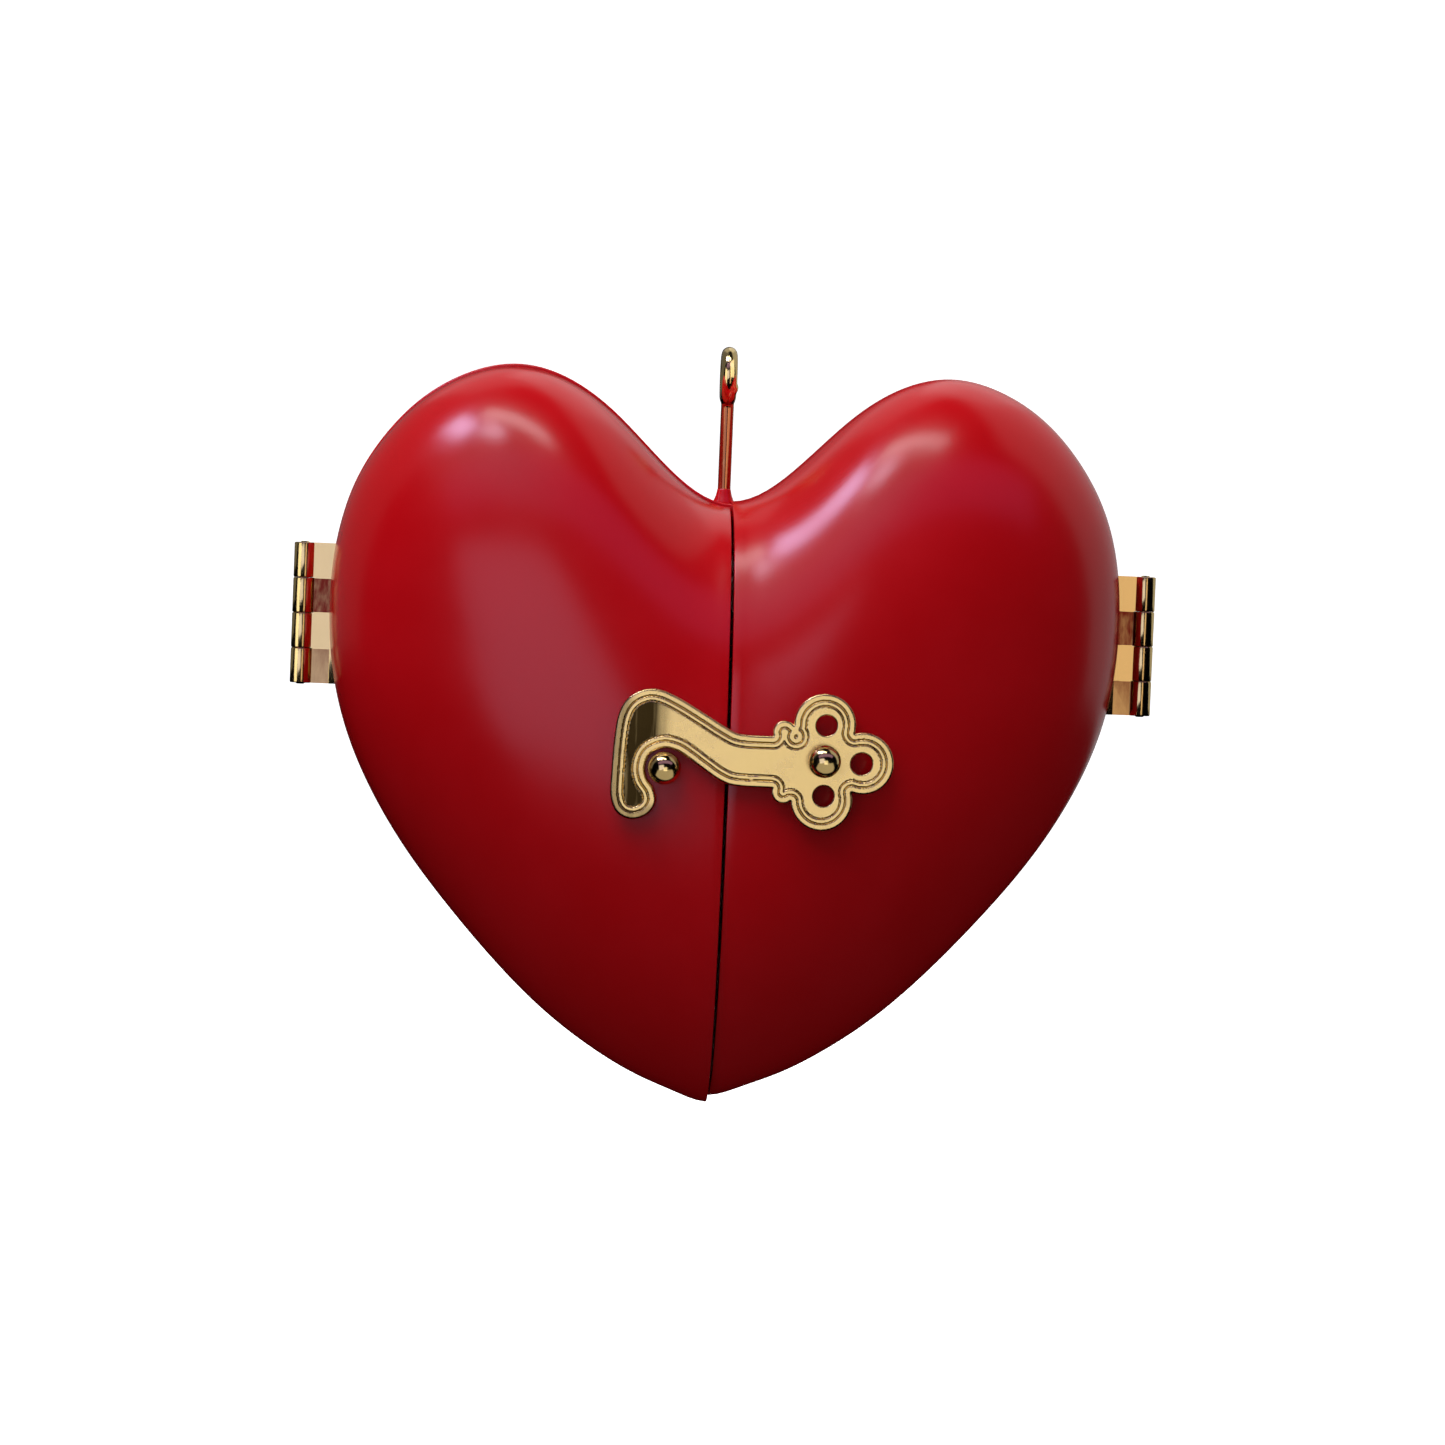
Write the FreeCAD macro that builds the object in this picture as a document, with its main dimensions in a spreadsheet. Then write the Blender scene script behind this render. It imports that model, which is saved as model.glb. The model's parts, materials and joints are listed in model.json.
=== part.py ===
import FreeCAD, Part
import math
import os
import Sketcher

# Heart-shaped wind up music box, about 111 mm wide and 97 mm high.
#
# A red lacquered heart of thin metal is made of one back shell and two half-heart doors that swing on
# brass hinges at the sides.  A stamped brass hook on the right door closes over a ball pin on the left
# door, and a wire eye in the cleft hangs the heart up.  Inside, a spring movement sits on a bedplate
# behind a panel, and its spring barrel turns a small disc with a rose.
#
# Every piece is drawn about the heart centre: x to the right, z up, y towards the back, with y = 0 on the
# plane where the doors meet the back shell and z = 0 at the height of the hinges.  The whole object is
# then shifted so that the middle of the hanger eye is the origin.

os.makedirs("parts", exist_ok=True)
doc = FreeCAD.newDocument("MusicBox")
sheet = doc.addObject("Spreadsheet::Sheet", "Dims")

DIMENSIONS = [
    # the heart
    ("half_width", 50.7),
    ("front_depth", 24.0),
    ("back_depth", 26.0),
    ("side_height", 2.0),
    ("wall_thickness", 1.6),
    ("seam_gap", 0.2),
    ("parting_gap", 0.3),
    ("left_door_drop", 0.5),
    ("right_door_rise", 0.3),
    ("left_door_ajar", 0.4),
    ("right_door_ajar", 0.2),
    ("door_twist", 0.3),
    # the hanger eye
    ("eye_left", 0.7),
    ("eye_behind", 3.2),
    ("eye_centre", 32.7),
    ("eye_ring_radius", 2.8),
    ("eye_ring_wire_radius", 1.05),
    ("eye_wire_radius", 0.85),
    ("eye_stem_foot", 11.0),
    ("eye_foot_radius", 1.45),
    # the hinges
    ("hinge_offset", 54.2),
    ("hinge_length", 18.0),
    ("knuckle_radius", 1.35),
    ("knuckle_gap", 0.08),
    ("hinge_pin_radius", 0.6),
    ("hinge_pin_play", 0.05),
    ("leaf_thickness", 0.5),
    ("leaf_spacing", 0.1),
    ("leaf_inner_edge", 43.8),
    ("leaf_notch_edge", 50.6),
    ("pad_inner_edge", 43.5),
    ("pad_depth", 2.7),
    ("rivet_radius", 0.5),
    ("rivet_head_radius", 0.95),
    # the latch
    ("latch_across", 11.6),
    ("latch_below", 15.3),
    ("catch_across", 7.8),
    ("catch_below", 16.9),
    ("hook_back_face", 24.9),
    ("hook_thickness", 1.0),
    ("hook_groove_depth", 0.25),
    ("latch_pin_radius", 0.9),
    ("latch_pin_play", 0.07),
    ("latch_ball_radius", 2.0),
    # the inner panel, disc and rose
    ("panel_front", 0.5),
    ("panel_thickness", 1.2),
    ("panel_clearance", 0.45),
    ("window_radius", 4.6),
    ("trim_ring_inner", 15.6),
    ("trim_ring_outer", 18.2),
    ("disc_radius", 15.0),
    ("disc_thickness", 1.2),
    ("disc_front", 2.4),
    ("spindle_radius", 2.6),
    # the movement
    ("movement_below", 6.0),
    ("bedplate_front", 14.4),
    ("bedplate_thickness", 1.5),
    ("drum_radius", 9.0),
    ("drum_front", 3.0),
    ("drum_wall", 0.7),
    ("crown_pitch_radius", 10.2),
    ("crown_face_width", 1.4),
    ("arbor_radius", 1.5),
    ("arbor_play", 0.05),
    ("cylinder_axis_behind", 8.6),
    ("cylinder_radius", 5.0),
    ("cylinder_length", 16.0),
    ("cylinder_wall", 0.8),
    ("music_pin_height", 0.6),
    ("cylinder_arbor_radius", 0.7),
    ("pinion_pitch_radius", 4.08),
    ("train_module", 0.3),
    ("worm_wheel_pitch_radius", 4.0),
    ("worm_pitch_radius", 1.2),
    ("train_arbor_radius", 0.4),
    ("small_play", 0.04),
    ("comb_thickness", 1.0),
    # the winding key
    ("key_seat", 25.6),
    ("key_hub_radius", 2.4),
    ("key_wing_span", 21.0),
    ("key_wing_thickness", 1.5),
]
for row, (name, number) in enumerate(DIMENSIONS, start=1):
    cell = "A" + str(row)
    sheet.set(cell, str(number))
    sheet.setAlias(cell, name)
doc.recompute()


class Length:
    """A number that also remembers the spreadsheet formula it came from."""

    def __init__(self, number, formula):
        self.number = number
        self.formula = formula

    def __float__(self):
        return float(self.number)

    def __add__(self, other):
        return Length(float(self) + float(other), "(" + text_of(self) + " + " + text_of(other) + ")")

    def __radd__(self, other):
        return Length(float(other) + float(self), "(" + text_of(other) + " + " + text_of(self) + ")")

    def __sub__(self, other):
        return Length(float(self) - float(other), "(" + text_of(self) + " - " + text_of(other) + ")")

    def __rsub__(self, other):
        return Length(float(other) - float(self), "(" + text_of(other) + " - " + text_of(self) + ")")

    def __mul__(self, other):
        return Length(float(self) * float(other), "(" + text_of(self) + " * " + text_of(other) + ")")

    def __rmul__(self, other):
        return Length(float(other) * float(self), "(" + text_of(other) + " * " + text_of(self) + ")")

    def __truediv__(self, other):
        return Length(float(self) / float(other), "(" + text_of(self) + " / " + text_of(other) + ")")

    def __neg__(self):
        return Length(-float(self), "(0 - " + text_of(self) + ")")


def text_of(length):
    if isinstance(length, Length):
        return length.formula
    return repr(float(length))


class Dimensions:
    """Gives every spreadsheet dimension as a Length under its own name."""


dims = Dimensions()
for name, number in DIMENSIONS:
    setattr(dims, name, Length(number, "Dims." + name))

NODES = []
NOWHERE = Length(0, "0")
TURN_TO_BACK = FreeCAD.Rotation(FreeCAD.Vector(1, 0, 0), -90)
TURN_TO_FRONT = FreeCAD.Rotation(FreeCAD.Vector(1, 0, 0), 90)
UPRIGHT = FreeCAD.Rotation()


def vec(x, y, z):
    return FreeCAD.Vector(float(x), float(y), float(z))


def keep(node):
    NODES.append(node)
    return node


# ---------------------------------------------------------------- sketched bodies

def origin_plane(body, role):
    for feature in body.Origin.OriginFeatures:
        if feature.Role == role:
            return feature


def new_sketch(body, role):
    sketch = body.newObject("Sketcher::SketchObject", "Sketch")
    sketch.AttachmentSupport = [(origin_plane(body, role), "")]
    sketch.MapMode = "FlatFace"
    return sketch


def bind(sketch, kind, geometry, point, length):
    """Hold one coordinate of a sketch point at a length, through its formula when it has one."""
    number = float(length)
    index = sketch.addConstraint(Sketcher.Constraint(kind, -1, 1, geometry, point, number))
    if isinstance(length, Length):
        sketch.setExpression("Constraints[" + str(index) + "]", length.formula)


def draw_polygon(sketch, corners):
    first = sketch.GeometryCount
    count = len(corners)
    points = [vec(across, up, 0) for across, up in corners]
    for i in range(count):
        sketch.addGeometry(Part.LineSegment(points[i], points[(i + 1) % count]))
    for i in range(count):
        following = first + (i + 1) % count
        sketch.addConstraint(Sketcher.Constraint("Coincident", first + i, 2, following, 1))
    for i, (across, up) in enumerate(corners):
        bind(sketch, "DistanceX", first + i, 1, across)
        bind(sketch, "DistanceY", first + i, 1, up)


def draw_circle(sketch, across, up, radius):
    centre = vec(across, up, 0)
    index = sketch.addGeometry(Part.Circle(centre, vec(0, 0, 1), float(radius)))
    bind(sketch, "DistanceX", index, 3, across)
    bind(sketch, "DistanceY", index, 3, up)
    number = sketch.addConstraint(Sketcher.Constraint("Radius", index, float(radius)))
    if isinstance(radius, Length):
        sketch.setExpression("Constraints[" + str(number) + "]", radius.formula)


def place(body, x, y, z, rotation):
    """Put a body at a point of the heart; the formulas also take off the shift to the hanger eye."""
    body.Placement = FreeCAD.Placement(vec(0, 0, 0), rotation)
    body.setExpression("Placement.Base.x", text_of(x + dims.eye_left))
    body.setExpression("Placement.Base.y", text_of(y - dims.eye_behind))
    body.setExpression("Placement.Base.z", text_of(z - dims.eye_centre))


def new_body(label):
    body = doc.addObject("PartDesign::Body", label)
    body.Label = label
    return body


def turned(label, profile, x, y, z, rotation=UPRIGHT):
    """A turned piece: the profile is (radius, height) pairs round the body's own Z axis."""
    body = new_body(label)
    sketch = new_sketch(body, "XZ_Plane")
    draw_polygon(sketch, profile)
    revolution = body.newObject("PartDesign::Revolution", "Turning")
    revolution.Profile = sketch
    revolution.ReferenceAxis = (sketch, ["V_Axis"])
    revolution.Angle = 360
    doc.recompute()
    place(body, x, y, z, rotation)
    return keep(body)


def plate(label, corners, holes, thickness, x, y, z, rotation=UPRIGHT):
    """A flat plate: corners of the outline, round holes as (across, up, radius), and a thickness."""
    body = new_body(label)
    sketch = new_sketch(body, "XY_Plane")
    draw_polygon(sketch, corners)
    for across, up, radius in holes:
        draw_circle(sketch, across, up, radius)
    pad = body.newObject("PartDesign::Pad", "Plate")
    pad.Profile = sketch
    pad.Length = float(thickness)
    if isinstance(thickness, Length):
        pad.setExpression("Length", thickness.formula)
    doc.recompute()
    place(body, x, y, z, rotation)
    return keep(body)


# ---------------------------------------------------------------- free shapes

HEART_SHIFT = FreeCAD.Placement(vec(dims.eye_left, -dims.eye_behind, -dims.eye_centre), UPRIGHT)


def solid_node(label, shape):
    """A piece whose shape is worked out in code, drawn in heart coordinates."""
    feature = doc.addObject("Part::Feature", label)
    feature.Label = label
    if shape.ShapeType == "Compound" and len(shape.Solids) == 1:
        shape = shape.Solids[0]
    own_place = shape.Placement
    feature.Shape = shape
    feature.Placement = HEART_SHIFT.multiply(own_place)
    return keep(feature)


def rod(radius, start, end):
    """A round rod from one point to another."""
    along = end.sub(start)
    return Part.makeCylinder(float(radius), along.Length, start, along)


def along_y(radius, x, z, front, back):
    return rod(radius, vec(x, front, z), vec(x, back, z))


def block(x_low, x_high, y_low, y_high, z_low, z_high):
    corner = vec(x_low, y_low, z_low)
    size = vec(x_high, y_high, z_high).sub(corner)
    return Part.makeBox(size.x, size.y, size.z, corner)


def prism(points, thickness):
    """A flat outline of points pushed along a vector."""
    wire = Part.makePolygon(points + [points[0]])
    return Part.Face(wire).extrude(thickness)


def join(shapes):
    return shapes[0].multiFuse(shapes[1:]).removeSplitter()


# Height of the top and bottom edge of the heart at some distances from the middle.
HEART_EDGE = [
    (0.0, 16.2, -60.3),
    (4.0, 17.4, -59.2),
    (9.0, 21.4, -57.2),
    (15.0, 27.2, -53.9),
    (21.0, 31.3, -49.6),
    (27.5, 33.0, -43.6),
    (34.0, 31.7, -36.5),
    (40.0, 28.1, -29.0),
    (45.0, 22.6, -21.0),
    (49.0, 14.7, -11.2),
]
SECTION_ROUNDNESS = 2.3
PLAN_ROUNDNESS = 2.4
EDGE_ANGLE = math.radians(88.8)


def edge_curve(column):
    """A smooth curve through the edge heights, over the angle whose sine is the distance across."""
    half = [(math.asin(row[0] / float(dims.half_width)), row[column]) for row in HEART_EDGE]
    half.append((math.pi / 2, float(dims.side_height)))
    mirrored = [(-angle, height) for angle, height in reversed(half[1:])]
    nodes = mirrored + half
    curve = Part.BSplineCurve()
    curve.interpolate(
        Points=[vec(angle, height, 0) for angle, height in nodes],
        Parameters=[angle for angle, height in nodes],
    )
    return curve


TOP_EDGE = edge_curve(1)
BOTTOM_EDGE = edge_curve(2)


def heart_section(angle, inset):
    """One closed section of the heart on a plane x = constant, drawn inwards by the inset."""
    x = (float(dims.half_width) - inset) * math.sin(angle)
    top = TOP_EDGE.value(angle).y
    bottom = BOTTOM_EDGE.value(angle).y
    middle = (top + bottom) / 2
    shrink = 1 - inset / 38.0
    half_height = (top - bottom) / 2 * shrink
    fullness = (1 - abs(math.sin(angle)) ** PLAN_ROUNDNESS) ** (1 / PLAN_ROUNDNESS)
    front = (float(dims.front_depth) - inset) * fullness
    back = (float(dims.back_depth) - inset) * fullness
    steps = 28
    points = []
    for step in range(steps):
        turn = 2 * math.pi * step / steps
        across = math.cos(turn)
        up = math.sin(turn)
        reach = (abs(across) ** SECTION_ROUNDNESS + abs(up) ** SECTION_ROUNDNESS) ** (-1 / SECTION_ROUNDNESS)
        depth = back if across > 0 else front
        points.append(vec(x, reach * across * depth, middle + reach * up * half_height))
    curve = Part.BSplineCurve()
    curve.interpolate(Points=points, PeriodicFlag=True)
    return Part.Wire(curve.toShape())


def heart_solid(inset):
    """The full heart as a smooth solid, drawn inwards by the inset."""
    count = 15
    wires = []
    for step in range(-count, count + 1):
        wires.append(heart_section(EDGE_ANGLE * step / count, inset))
    return Part.makeLoft(wires, True, False, False)


OUTER = heart_solid(0.0)
INNER = heart_solid(float(dims.wall_thickness))
SHELL = OUTER.cut(INNER)
FAR = 90.0


def rim_outline(inset):
    """The edge of the heart in the parting plane as a closed wire, drawn inwards by the inset."""
    points = []
    count = 40
    for column, order in ((TOP_EDGE, 1), (BOTTOM_EDGE, -1)):
        for step in range(-count, count):
            angle = order * math.radians(90.0) * step / count
            height = column.value(angle).y
            points.append((float(dims.half_width) * math.sin(angle), height))
    inset_points = []
    total = len(points)
    for i in range(total):
        before = points[i - 1]
        after = points[(i + 1) % total]
        run = after[0] - before[0]
        rise = after[1] - before[1]
        size = math.hypot(run, rise)
        x = points[i][0] + inset * rise / size
        z = points[i][1] - inset * run / size
        inset_points.append(vec(x, 0, z))
    curve = Part.BSplineCurve()
    curve.interpolate(Points=inset_points, PeriodicFlag=True)
    return Part.Wire(curve.toShape())


# ---------------------------------------------------------------- shells

HALF_PARTING = dims.parting_gap / 2
HALF_SEAM = dims.seam_gap / 2
HALF_HINGE = dims.hinge_length / 2
LEAF_FACE = dims.leaf_spacing / 2
LEAF_BACK = LEAF_FACE + dims.leaf_thickness
WITHIN_WALL = heart_solid(float(dims.wall_thickness) / 2)

PANEL_SCREW_SPOTS = [(-30.0, 18.0), (30.0, 18.0), (-23.0, -33.0), (23.0, -33.0)]
MOVEMENT_SCREW_SPOTS = [(-13.5, -2.0), (13.5, -2.0), (9.0, -39.0)]
RIVET_SPOTS = [(46.3, 5.5), (46.3, -5.5)]
MOVEMENT_Z = -dims.movement_below
BEDPLATE_BACK = dims.bedplate_front + dims.bedplate_thickness
PANEL_BACK = dims.panel_front + dims.panel_thickness
SCREW_SEAT = 19.6


def hinge_pad(side, front):
    """The thick block inside a shell that a hinge leaf is riveted to."""
    near = dims.pad_inner_edge * side
    low, high = sorted([float(near), side * 60.0])
    if front:
        pad = block(low, high, -dims.pad_depth, -HALF_PARTING, -HALF_HINGE - 0.4, HALF_HINGE + 0.4)
    else:
        pad = block(low, high, HALF_PARTING, dims.pad_depth, -HALF_HINGE - 0.4, HALF_HINGE + 0.4)
    return pad.common(WITHIN_WALL)


def leaf_recess(side, front):
    """The room a hinge leaf takes up in the rim, with its rivet holes."""
    low, high = sorted([float(dims.leaf_inner_edge) * side, side * 60.0])
    toward = -1 if front else 1
    near, far = sorted([0.0, toward * float(LEAF_BACK)])
    room = block(low, high, near, far, -HALF_HINGE, HALF_HINGE)
    cutters = [room]
    for x, z in RIVET_SPOTS:
        cutters.append(along_y(dims.rivet_radius, side * x, z, 0, toward * 4.0))
    return Part.makeCompound(cutters)


def door_shape(side):
    """Half of the heart's front, set a little out of true the way the real doors hang."""
    low, high = sorted([float(HALF_SEAM) * side, side * FAR])
    door = SHELL.common(block(low, high, -FAR, -HALF_PARTING, -FAR, FAR))
    ajar = dims.right_door_ajar if side > 0 else dims.left_door_ajar
    shift = dims.right_door_rise if side > 0 else -dims.left_door_drop
    door.rotate(vec(side * dims.hinge_offset, 0, 0), vec(0, 0, 1), side * float(ajar))
    door.rotate(vec(0, 0, 0), vec(1, 0, 0), side * float(dims.door_twist))
    door.translate(vec(0, 0, shift))
    door = door.fuse(hinge_pad(side, True))
    door = door.cut(leaf_recess(side, True))
    if side > 0:
        hole = along_y(dims.latch_pin_radius, dims.latch_across, -dims.latch_below, -20, -30)
    else:
        hole = along_y(dims.latch_pin_radius, -dims.catch_across, -dims.catch_below, -20, -30)
    return door.cut(hole)


def on_stem(z):
    """A point on the middle line of the hanger's stem."""
    return vec(-dims.eye_left, dims.eye_behind, z)


def back_shell_shape():
    """The back half with its hinge pads, screw bosses, key boss and the boss that holds the hanger."""
    shell = SHELL.common(block(-FAR, FAR, HALF_PARTING, FAR, -FAR, FAR))
    added = [hinge_pad(-1, False), hinge_pad(1, False)]
    for x, z in PANEL_SCREW_SPOTS:
        added.append(along_y(2.3, x, z, PANEL_BACK, 40).common(WITHIN_WALL))
    for x, z in MOVEMENT_SCREW_SPOTS:
        added.append(along_y(3.2, x, z, BEDPLATE_BACK, 40).common(WITHIN_WALL))
    added.append(along_y(5.7, 0, MOVEMENT_Z, 22.4, dims.key_seat))
    hanger_boss = rod(2.5, on_stem(12.6), on_stem(20))
    added.append(hanger_boss.common(WITHIN_WALL))
    shell = shell.multiFuse(added)
    removed = [leaf_recess(-1, False), leaf_recess(1, False)]
    for x, z in PANEL_SCREW_SPOTS:
        removed.append(along_y(0.8, x, z, 0, 8.0))
    for x, z in MOVEMENT_SCREW_SPOTS:
        removed.append(along_y(0.9, x, z, BEDPLATE_BACK, 30))
        removed.append(along_y(1.9, x, z, SCREW_SEAT, 40))
    removed.append(along_y(3.1, 0, MOVEMENT_Z, 20, 40))
    removed.append(rod(dims.eye_wire_radius, on_stem(5), on_stem(25)))
    return shell.cut(Part.makeCompound(removed))


solid_node("back_shell", back_shell_shape())
solid_node("right_door", door_shape(1))
solid_node("left_door", door_shape(-1))

# ---------------------------------------------------------------- hinges

KNUCKLES = 4
KNUCKLE_LENGTH = (dims.hinge_length - dims.knuckle_gap * (KNUCKLES - 1)) / KNUCKLES
KNUCKLE_STEP = KNUCKLE_LENGTH + dims.knuckle_gap


def hinge_leaf(side, front):
    """A flat brass leaf with its two rolled knuckles; the door leaf has the first and third."""
    toward = -1 if front else 1
    axis = side * float(dims.hinge_offset)
    near, far = sorted([toward * float(LEAF_FACE), toward * float(LEAF_BACK)])
    low, high = sorted([side * float(dims.leaf_inner_edge), side * float(dims.leaf_notch_edge)])
    pieces = [block(low, high, near, far, -HALF_HINGE, HALF_HINGE)]
    for index in range(KNUCKLES):
        if (index % 2 == 0) != front:
            continue
        top = HALF_HINGE - KNUCKLE_STEP * index
        bottom = top - KNUCKLE_LENGTH
        pieces.append(rod(dims.knuckle_radius, vec(axis, 0, bottom), vec(axis, 0, top)))
        low, high = sorted([side * float(dims.leaf_notch_edge) - side * 0.5, axis])
        pieces.append(block(low, high, near, far, bottom, top))
    leaf = join(pieces)
    bore = dims.hinge_pin_radius + dims.hinge_pin_play if front else dims.hinge_pin_radius
    leaf = leaf.cut(rod(bore, vec(axis, 0, -20), vec(axis, 0, 20)))
    for x, z in RIVET_SPOTS:
        leaf = leaf.cut(along_y(dims.rivet_radius, side * x, z, -5, 5))
    return leaf


def rivets(side, front):
    toward = -1 if front else 1
    solids = []
    for x, z in RIVET_SPOTS:
        shank = along_y(dims.rivet_radius, side * x, z, toward * LEAF_FACE, toward * dims.pad_depth)
        head_end = toward * (dims.pad_depth + 0.45)
        head = along_y(dims.rivet_head_radius, side * x, z, toward * dims.pad_depth, head_end)
        solids.append(join([shank, head]))
    return solids


for side, word in ((-1, "left"), (1, "right")):
    solid_node(word + "_hinge_door_leaf", hinge_leaf(side, True))
    solid_node(word + "_hinge_back_leaf", hinge_leaf(side, False))
    pin_half = HALF_HINGE + 0.15
    turned(
        word + "_hinge_pin",
        [(0, -pin_half), (dims.hinge_pin_radius, -pin_half), (dims.hinge_pin_radius, pin_half), (0, pin_half)],
        dims.hinge_offset * side,
        NOWHERE,
        NOWHERE,
    )
    solid_node(word + "_door_rivets", Part.makeCompound(rivets(side, True)))
solid_node("back_hinge_rivets", Part.makeCompound(rivets(-1, False) + rivets(1, False)))

# ---------------------------------------------------------------- hanger eye

STEM_TOP = float(dims.eye_centre - dims.eye_ring_radius)
WIRE_END_TURN = math.radians(35)
FOOT_BOTTOM = 16.6
FOOT_HEIGHT = 2.3
FOOT_RADII = (float(dims.eye_foot_radius), float(dims.eye_wire_radius))

ring_sizes = (float(dims.eye_ring_radius), float(dims.eye_ring_wire_radius))
ring = Part.makeTorus(*ring_sizes, on_stem(dims.eye_centre), vec(1, 0, 0))
stem = rod(dims.eye_wire_radius, on_stem(dims.eye_stem_foot), on_stem(STEM_TOP))
end_in_front = dims.eye_ring_radius * math.cos(WIRE_END_TURN)
end_below = dims.eye_ring_radius * math.sin(WIRE_END_TURN)
wire_end = Part.makeSphere(ring_sizes[1], on_stem(dims.eye_centre) + vec(0.2, -end_in_front, -end_below))
foot = Part.makeCone(*FOOT_RADII, FOOT_HEIGHT, on_stem(FOOT_BOTTOM), vec(0, 0, 1))
solid_node("hanger_eye", join([stem, ring, wire_end, foot]))

nut_corners = []
for corner in range(6):
    turn = math.radians(60 * corner)
    nut_corners.append((2.0 * math.cos(turn), 2.0 * math.sin(turn)))
plate("hanger_nut", nut_corners, [(0, 0, dims.eye_wire_radius)], 1.3, -dims.eye_left, dims.eye_behind, NOWHERE + 11.3)

# ---------------------------------------------------------------- latch

PIVOT = vec(dims.latch_across, 0, -dims.latch_below)
HOOK_FRONT = dims.hook_back_face + dims.hook_thickness

# The stamped hook, drawn from its pivot: along the top of the arm, round the bent tip and back
# under the arm past the nest where the catch ball sits.
ARM_EDGE = [
    (-6.5, 2.8), (-10.2, 2.9), (-12.2, 3.75), (-14.5, 5.1), (-17.5, 6.8), (-20.0, 7.85), (-22.0, 7.9),
    (-24.0, 6.85), (-25.15, 4.9), (-25.6, 2.0), (-25.8, -2.0), (-25.8, -5.2), (-25.0, -7.2), (-23.2, -8.0),
    (-21.3, -7.4), (-20.3, -5.9), (-20.6, -4.2), (-21.5, -2.9), (-21.75, -1.5), (-21.2, 0.0), (-19.6, 0.8),
    (-18.0, 0.55), (-16.6, -0.25), (-14.8, -1.5), (-12.6, -2.9), (-10.6, -3.5), (-6.5, -3.6),
]
HEAD_ROUNDS = [
    (0.0, 0.0, 3.6), (0.0, 4.4, 3.8), (4.8, -0.15, 3.8), (-0.1, -4.8, 3.8), (-4.9, 3.3, 1.45), (-4.8, -4.0, 1.45),
]
HEAD_HOLES = [(0.2, 4.3, 1.25), (4.65, -0.2, 1.3), (0.15, -4.3, 1.25)]


def hook_face(y):
    """The flat outline of the hook on a plane y = constant."""
    origin = vec(PIVOT.x, y, PIVOT.z)
    edge_points = [origin + vec(x, 0, z) for x, z in ARM_EDGE]
    curve = Part.BSplineCurve()
    curve.interpolate(Points=edge_points)
    low_neck = origin + vec(-2.5, 0, -3.6)
    high_neck = origin + vec(-2.5, 0, 2.8)
    edges = [
        curve.toShape(),
        Part.makeLine(edge_points[-1], low_neck),
        Part.makeLine(low_neck, high_neck),
        Part.makeLine(high_neck, edge_points[0]),
    ]
    pieces = [Part.Face(Part.Wire(edges)).extrude(vec(0, dims.hook_thickness, 0))]
    for x, z, radius in HEAD_ROUNDS:
        pieces.append(along_y(radius, PIVOT.x + x, PIVOT.z + z, y, y + float(dims.hook_thickness)))
    blank = join(pieces)
    for face in blank.Faces:
        if abs(face.BoundBox.YMax - y) < 1e-4:
            return face


hook_outline = hook_face(-float(HOOK_FRONT))
hook = hook_outline.extrude(vec(0, dims.hook_thickness, 0))


def inset_prism(inset, thickness):
    """The hook outline drawn inwards by the inset and pushed back by the thickness."""
    points = hook_outline.makeOffset2D(-inset).OuterWire.discretize(220)
    return prism(points[:-1], vec(0, thickness, 0))


groove = inset_prism(1.0, dims.hook_groove_depth).cut(inset_prism(1.35, dims.hook_groove_depth))
hook = hook.cut(groove)
hook_holes = [along_y(dims.latch_pin_radius + dims.latch_pin_play, PIVOT.x, PIVOT.z, -30, -20)]
for x, z, radius in HEAD_HOLES:
    hook_holes.append(along_y(radius, PIVOT.x + x, PIVOT.z + z, -30, -20))
hook = hook.cut(Part.makeCompound(hook_holes))
solid_node("latch_hook", hook)


def ball_pin(x, z, inner_head, flange_front, flange_back, ball_centre):
    """A turned brass pin through a door: inner head, shank, flange and ball, from inside to outside."""
    pieces = [
        along_y(1.7, x, z, -inner_head, -inner_head - 0.8),
        along_y(dims.latch_pin_radius, x, z, -inner_head, -ball_centre),
        along_y(1.9, x, z, -flange_back, -flange_front),
        Part.makeSphere(float(dims.latch_ball_radius), vec(x, -ball_centre, z)),
    ]
    return join(pieces)


ball_front = float(HOOK_FRONT) + 1.5
pivot_pin = ball_pin(PIVOT.x, PIVOT.z, 21.2, dims.hook_back_face - 0.05, 23.9, ball_front)
clear_hook = along_y(3.0, PIVOT.x, PIVOT.z, -HOOK_FRONT - 0.05, -dims.hook_back_face)
clear_hook = clear_hook.cut(along_y(dims.latch_pin_radius, PIVOT.x, PIVOT.z, -40, -10))
solid_node("latch_pivot_pin", pivot_pin.cut(clear_hook))
catch_pin = ball_pin(-dims.catch_across, -dims.catch_below, 21.5, dims.hook_back_face, 24.4, 26.4)
solid_node("latch_catch_pin", catch_pin)

# ---------------------------------------------------------------- inner panel, disc and rose

panel_face = Part.Face(rim_outline(float(dims.wall_thickness + dims.panel_clearance)))
panel_face.translate(vec(0, dims.panel_front, 0))
panel = panel_face.extrude(vec(0, dims.panel_thickness, 0))
panel_cuts = [
    along_y(dims.window_radius, 0, MOVEMENT_Z, -5, 5),
    block(dims.pad_inner_edge - 0.3, 60, -5, 5, -HALF_HINGE - 0.7, HALF_HINGE + 0.7),
    block(-60, -dims.pad_inner_edge + 0.3, -5, 5, -HALF_HINGE - 0.7, HALF_HINGE + 0.7),
    block(-3.2, 3.2, -5, 5, 10.5, 20),
]
for x, z in PANEL_SCREW_SPOTS:
    panel_cuts.append(along_y(0.8, x, z, -5, 5))
solid_node("inner_panel", panel.cut(Part.makeCompound(panel_cuts)))


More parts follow.
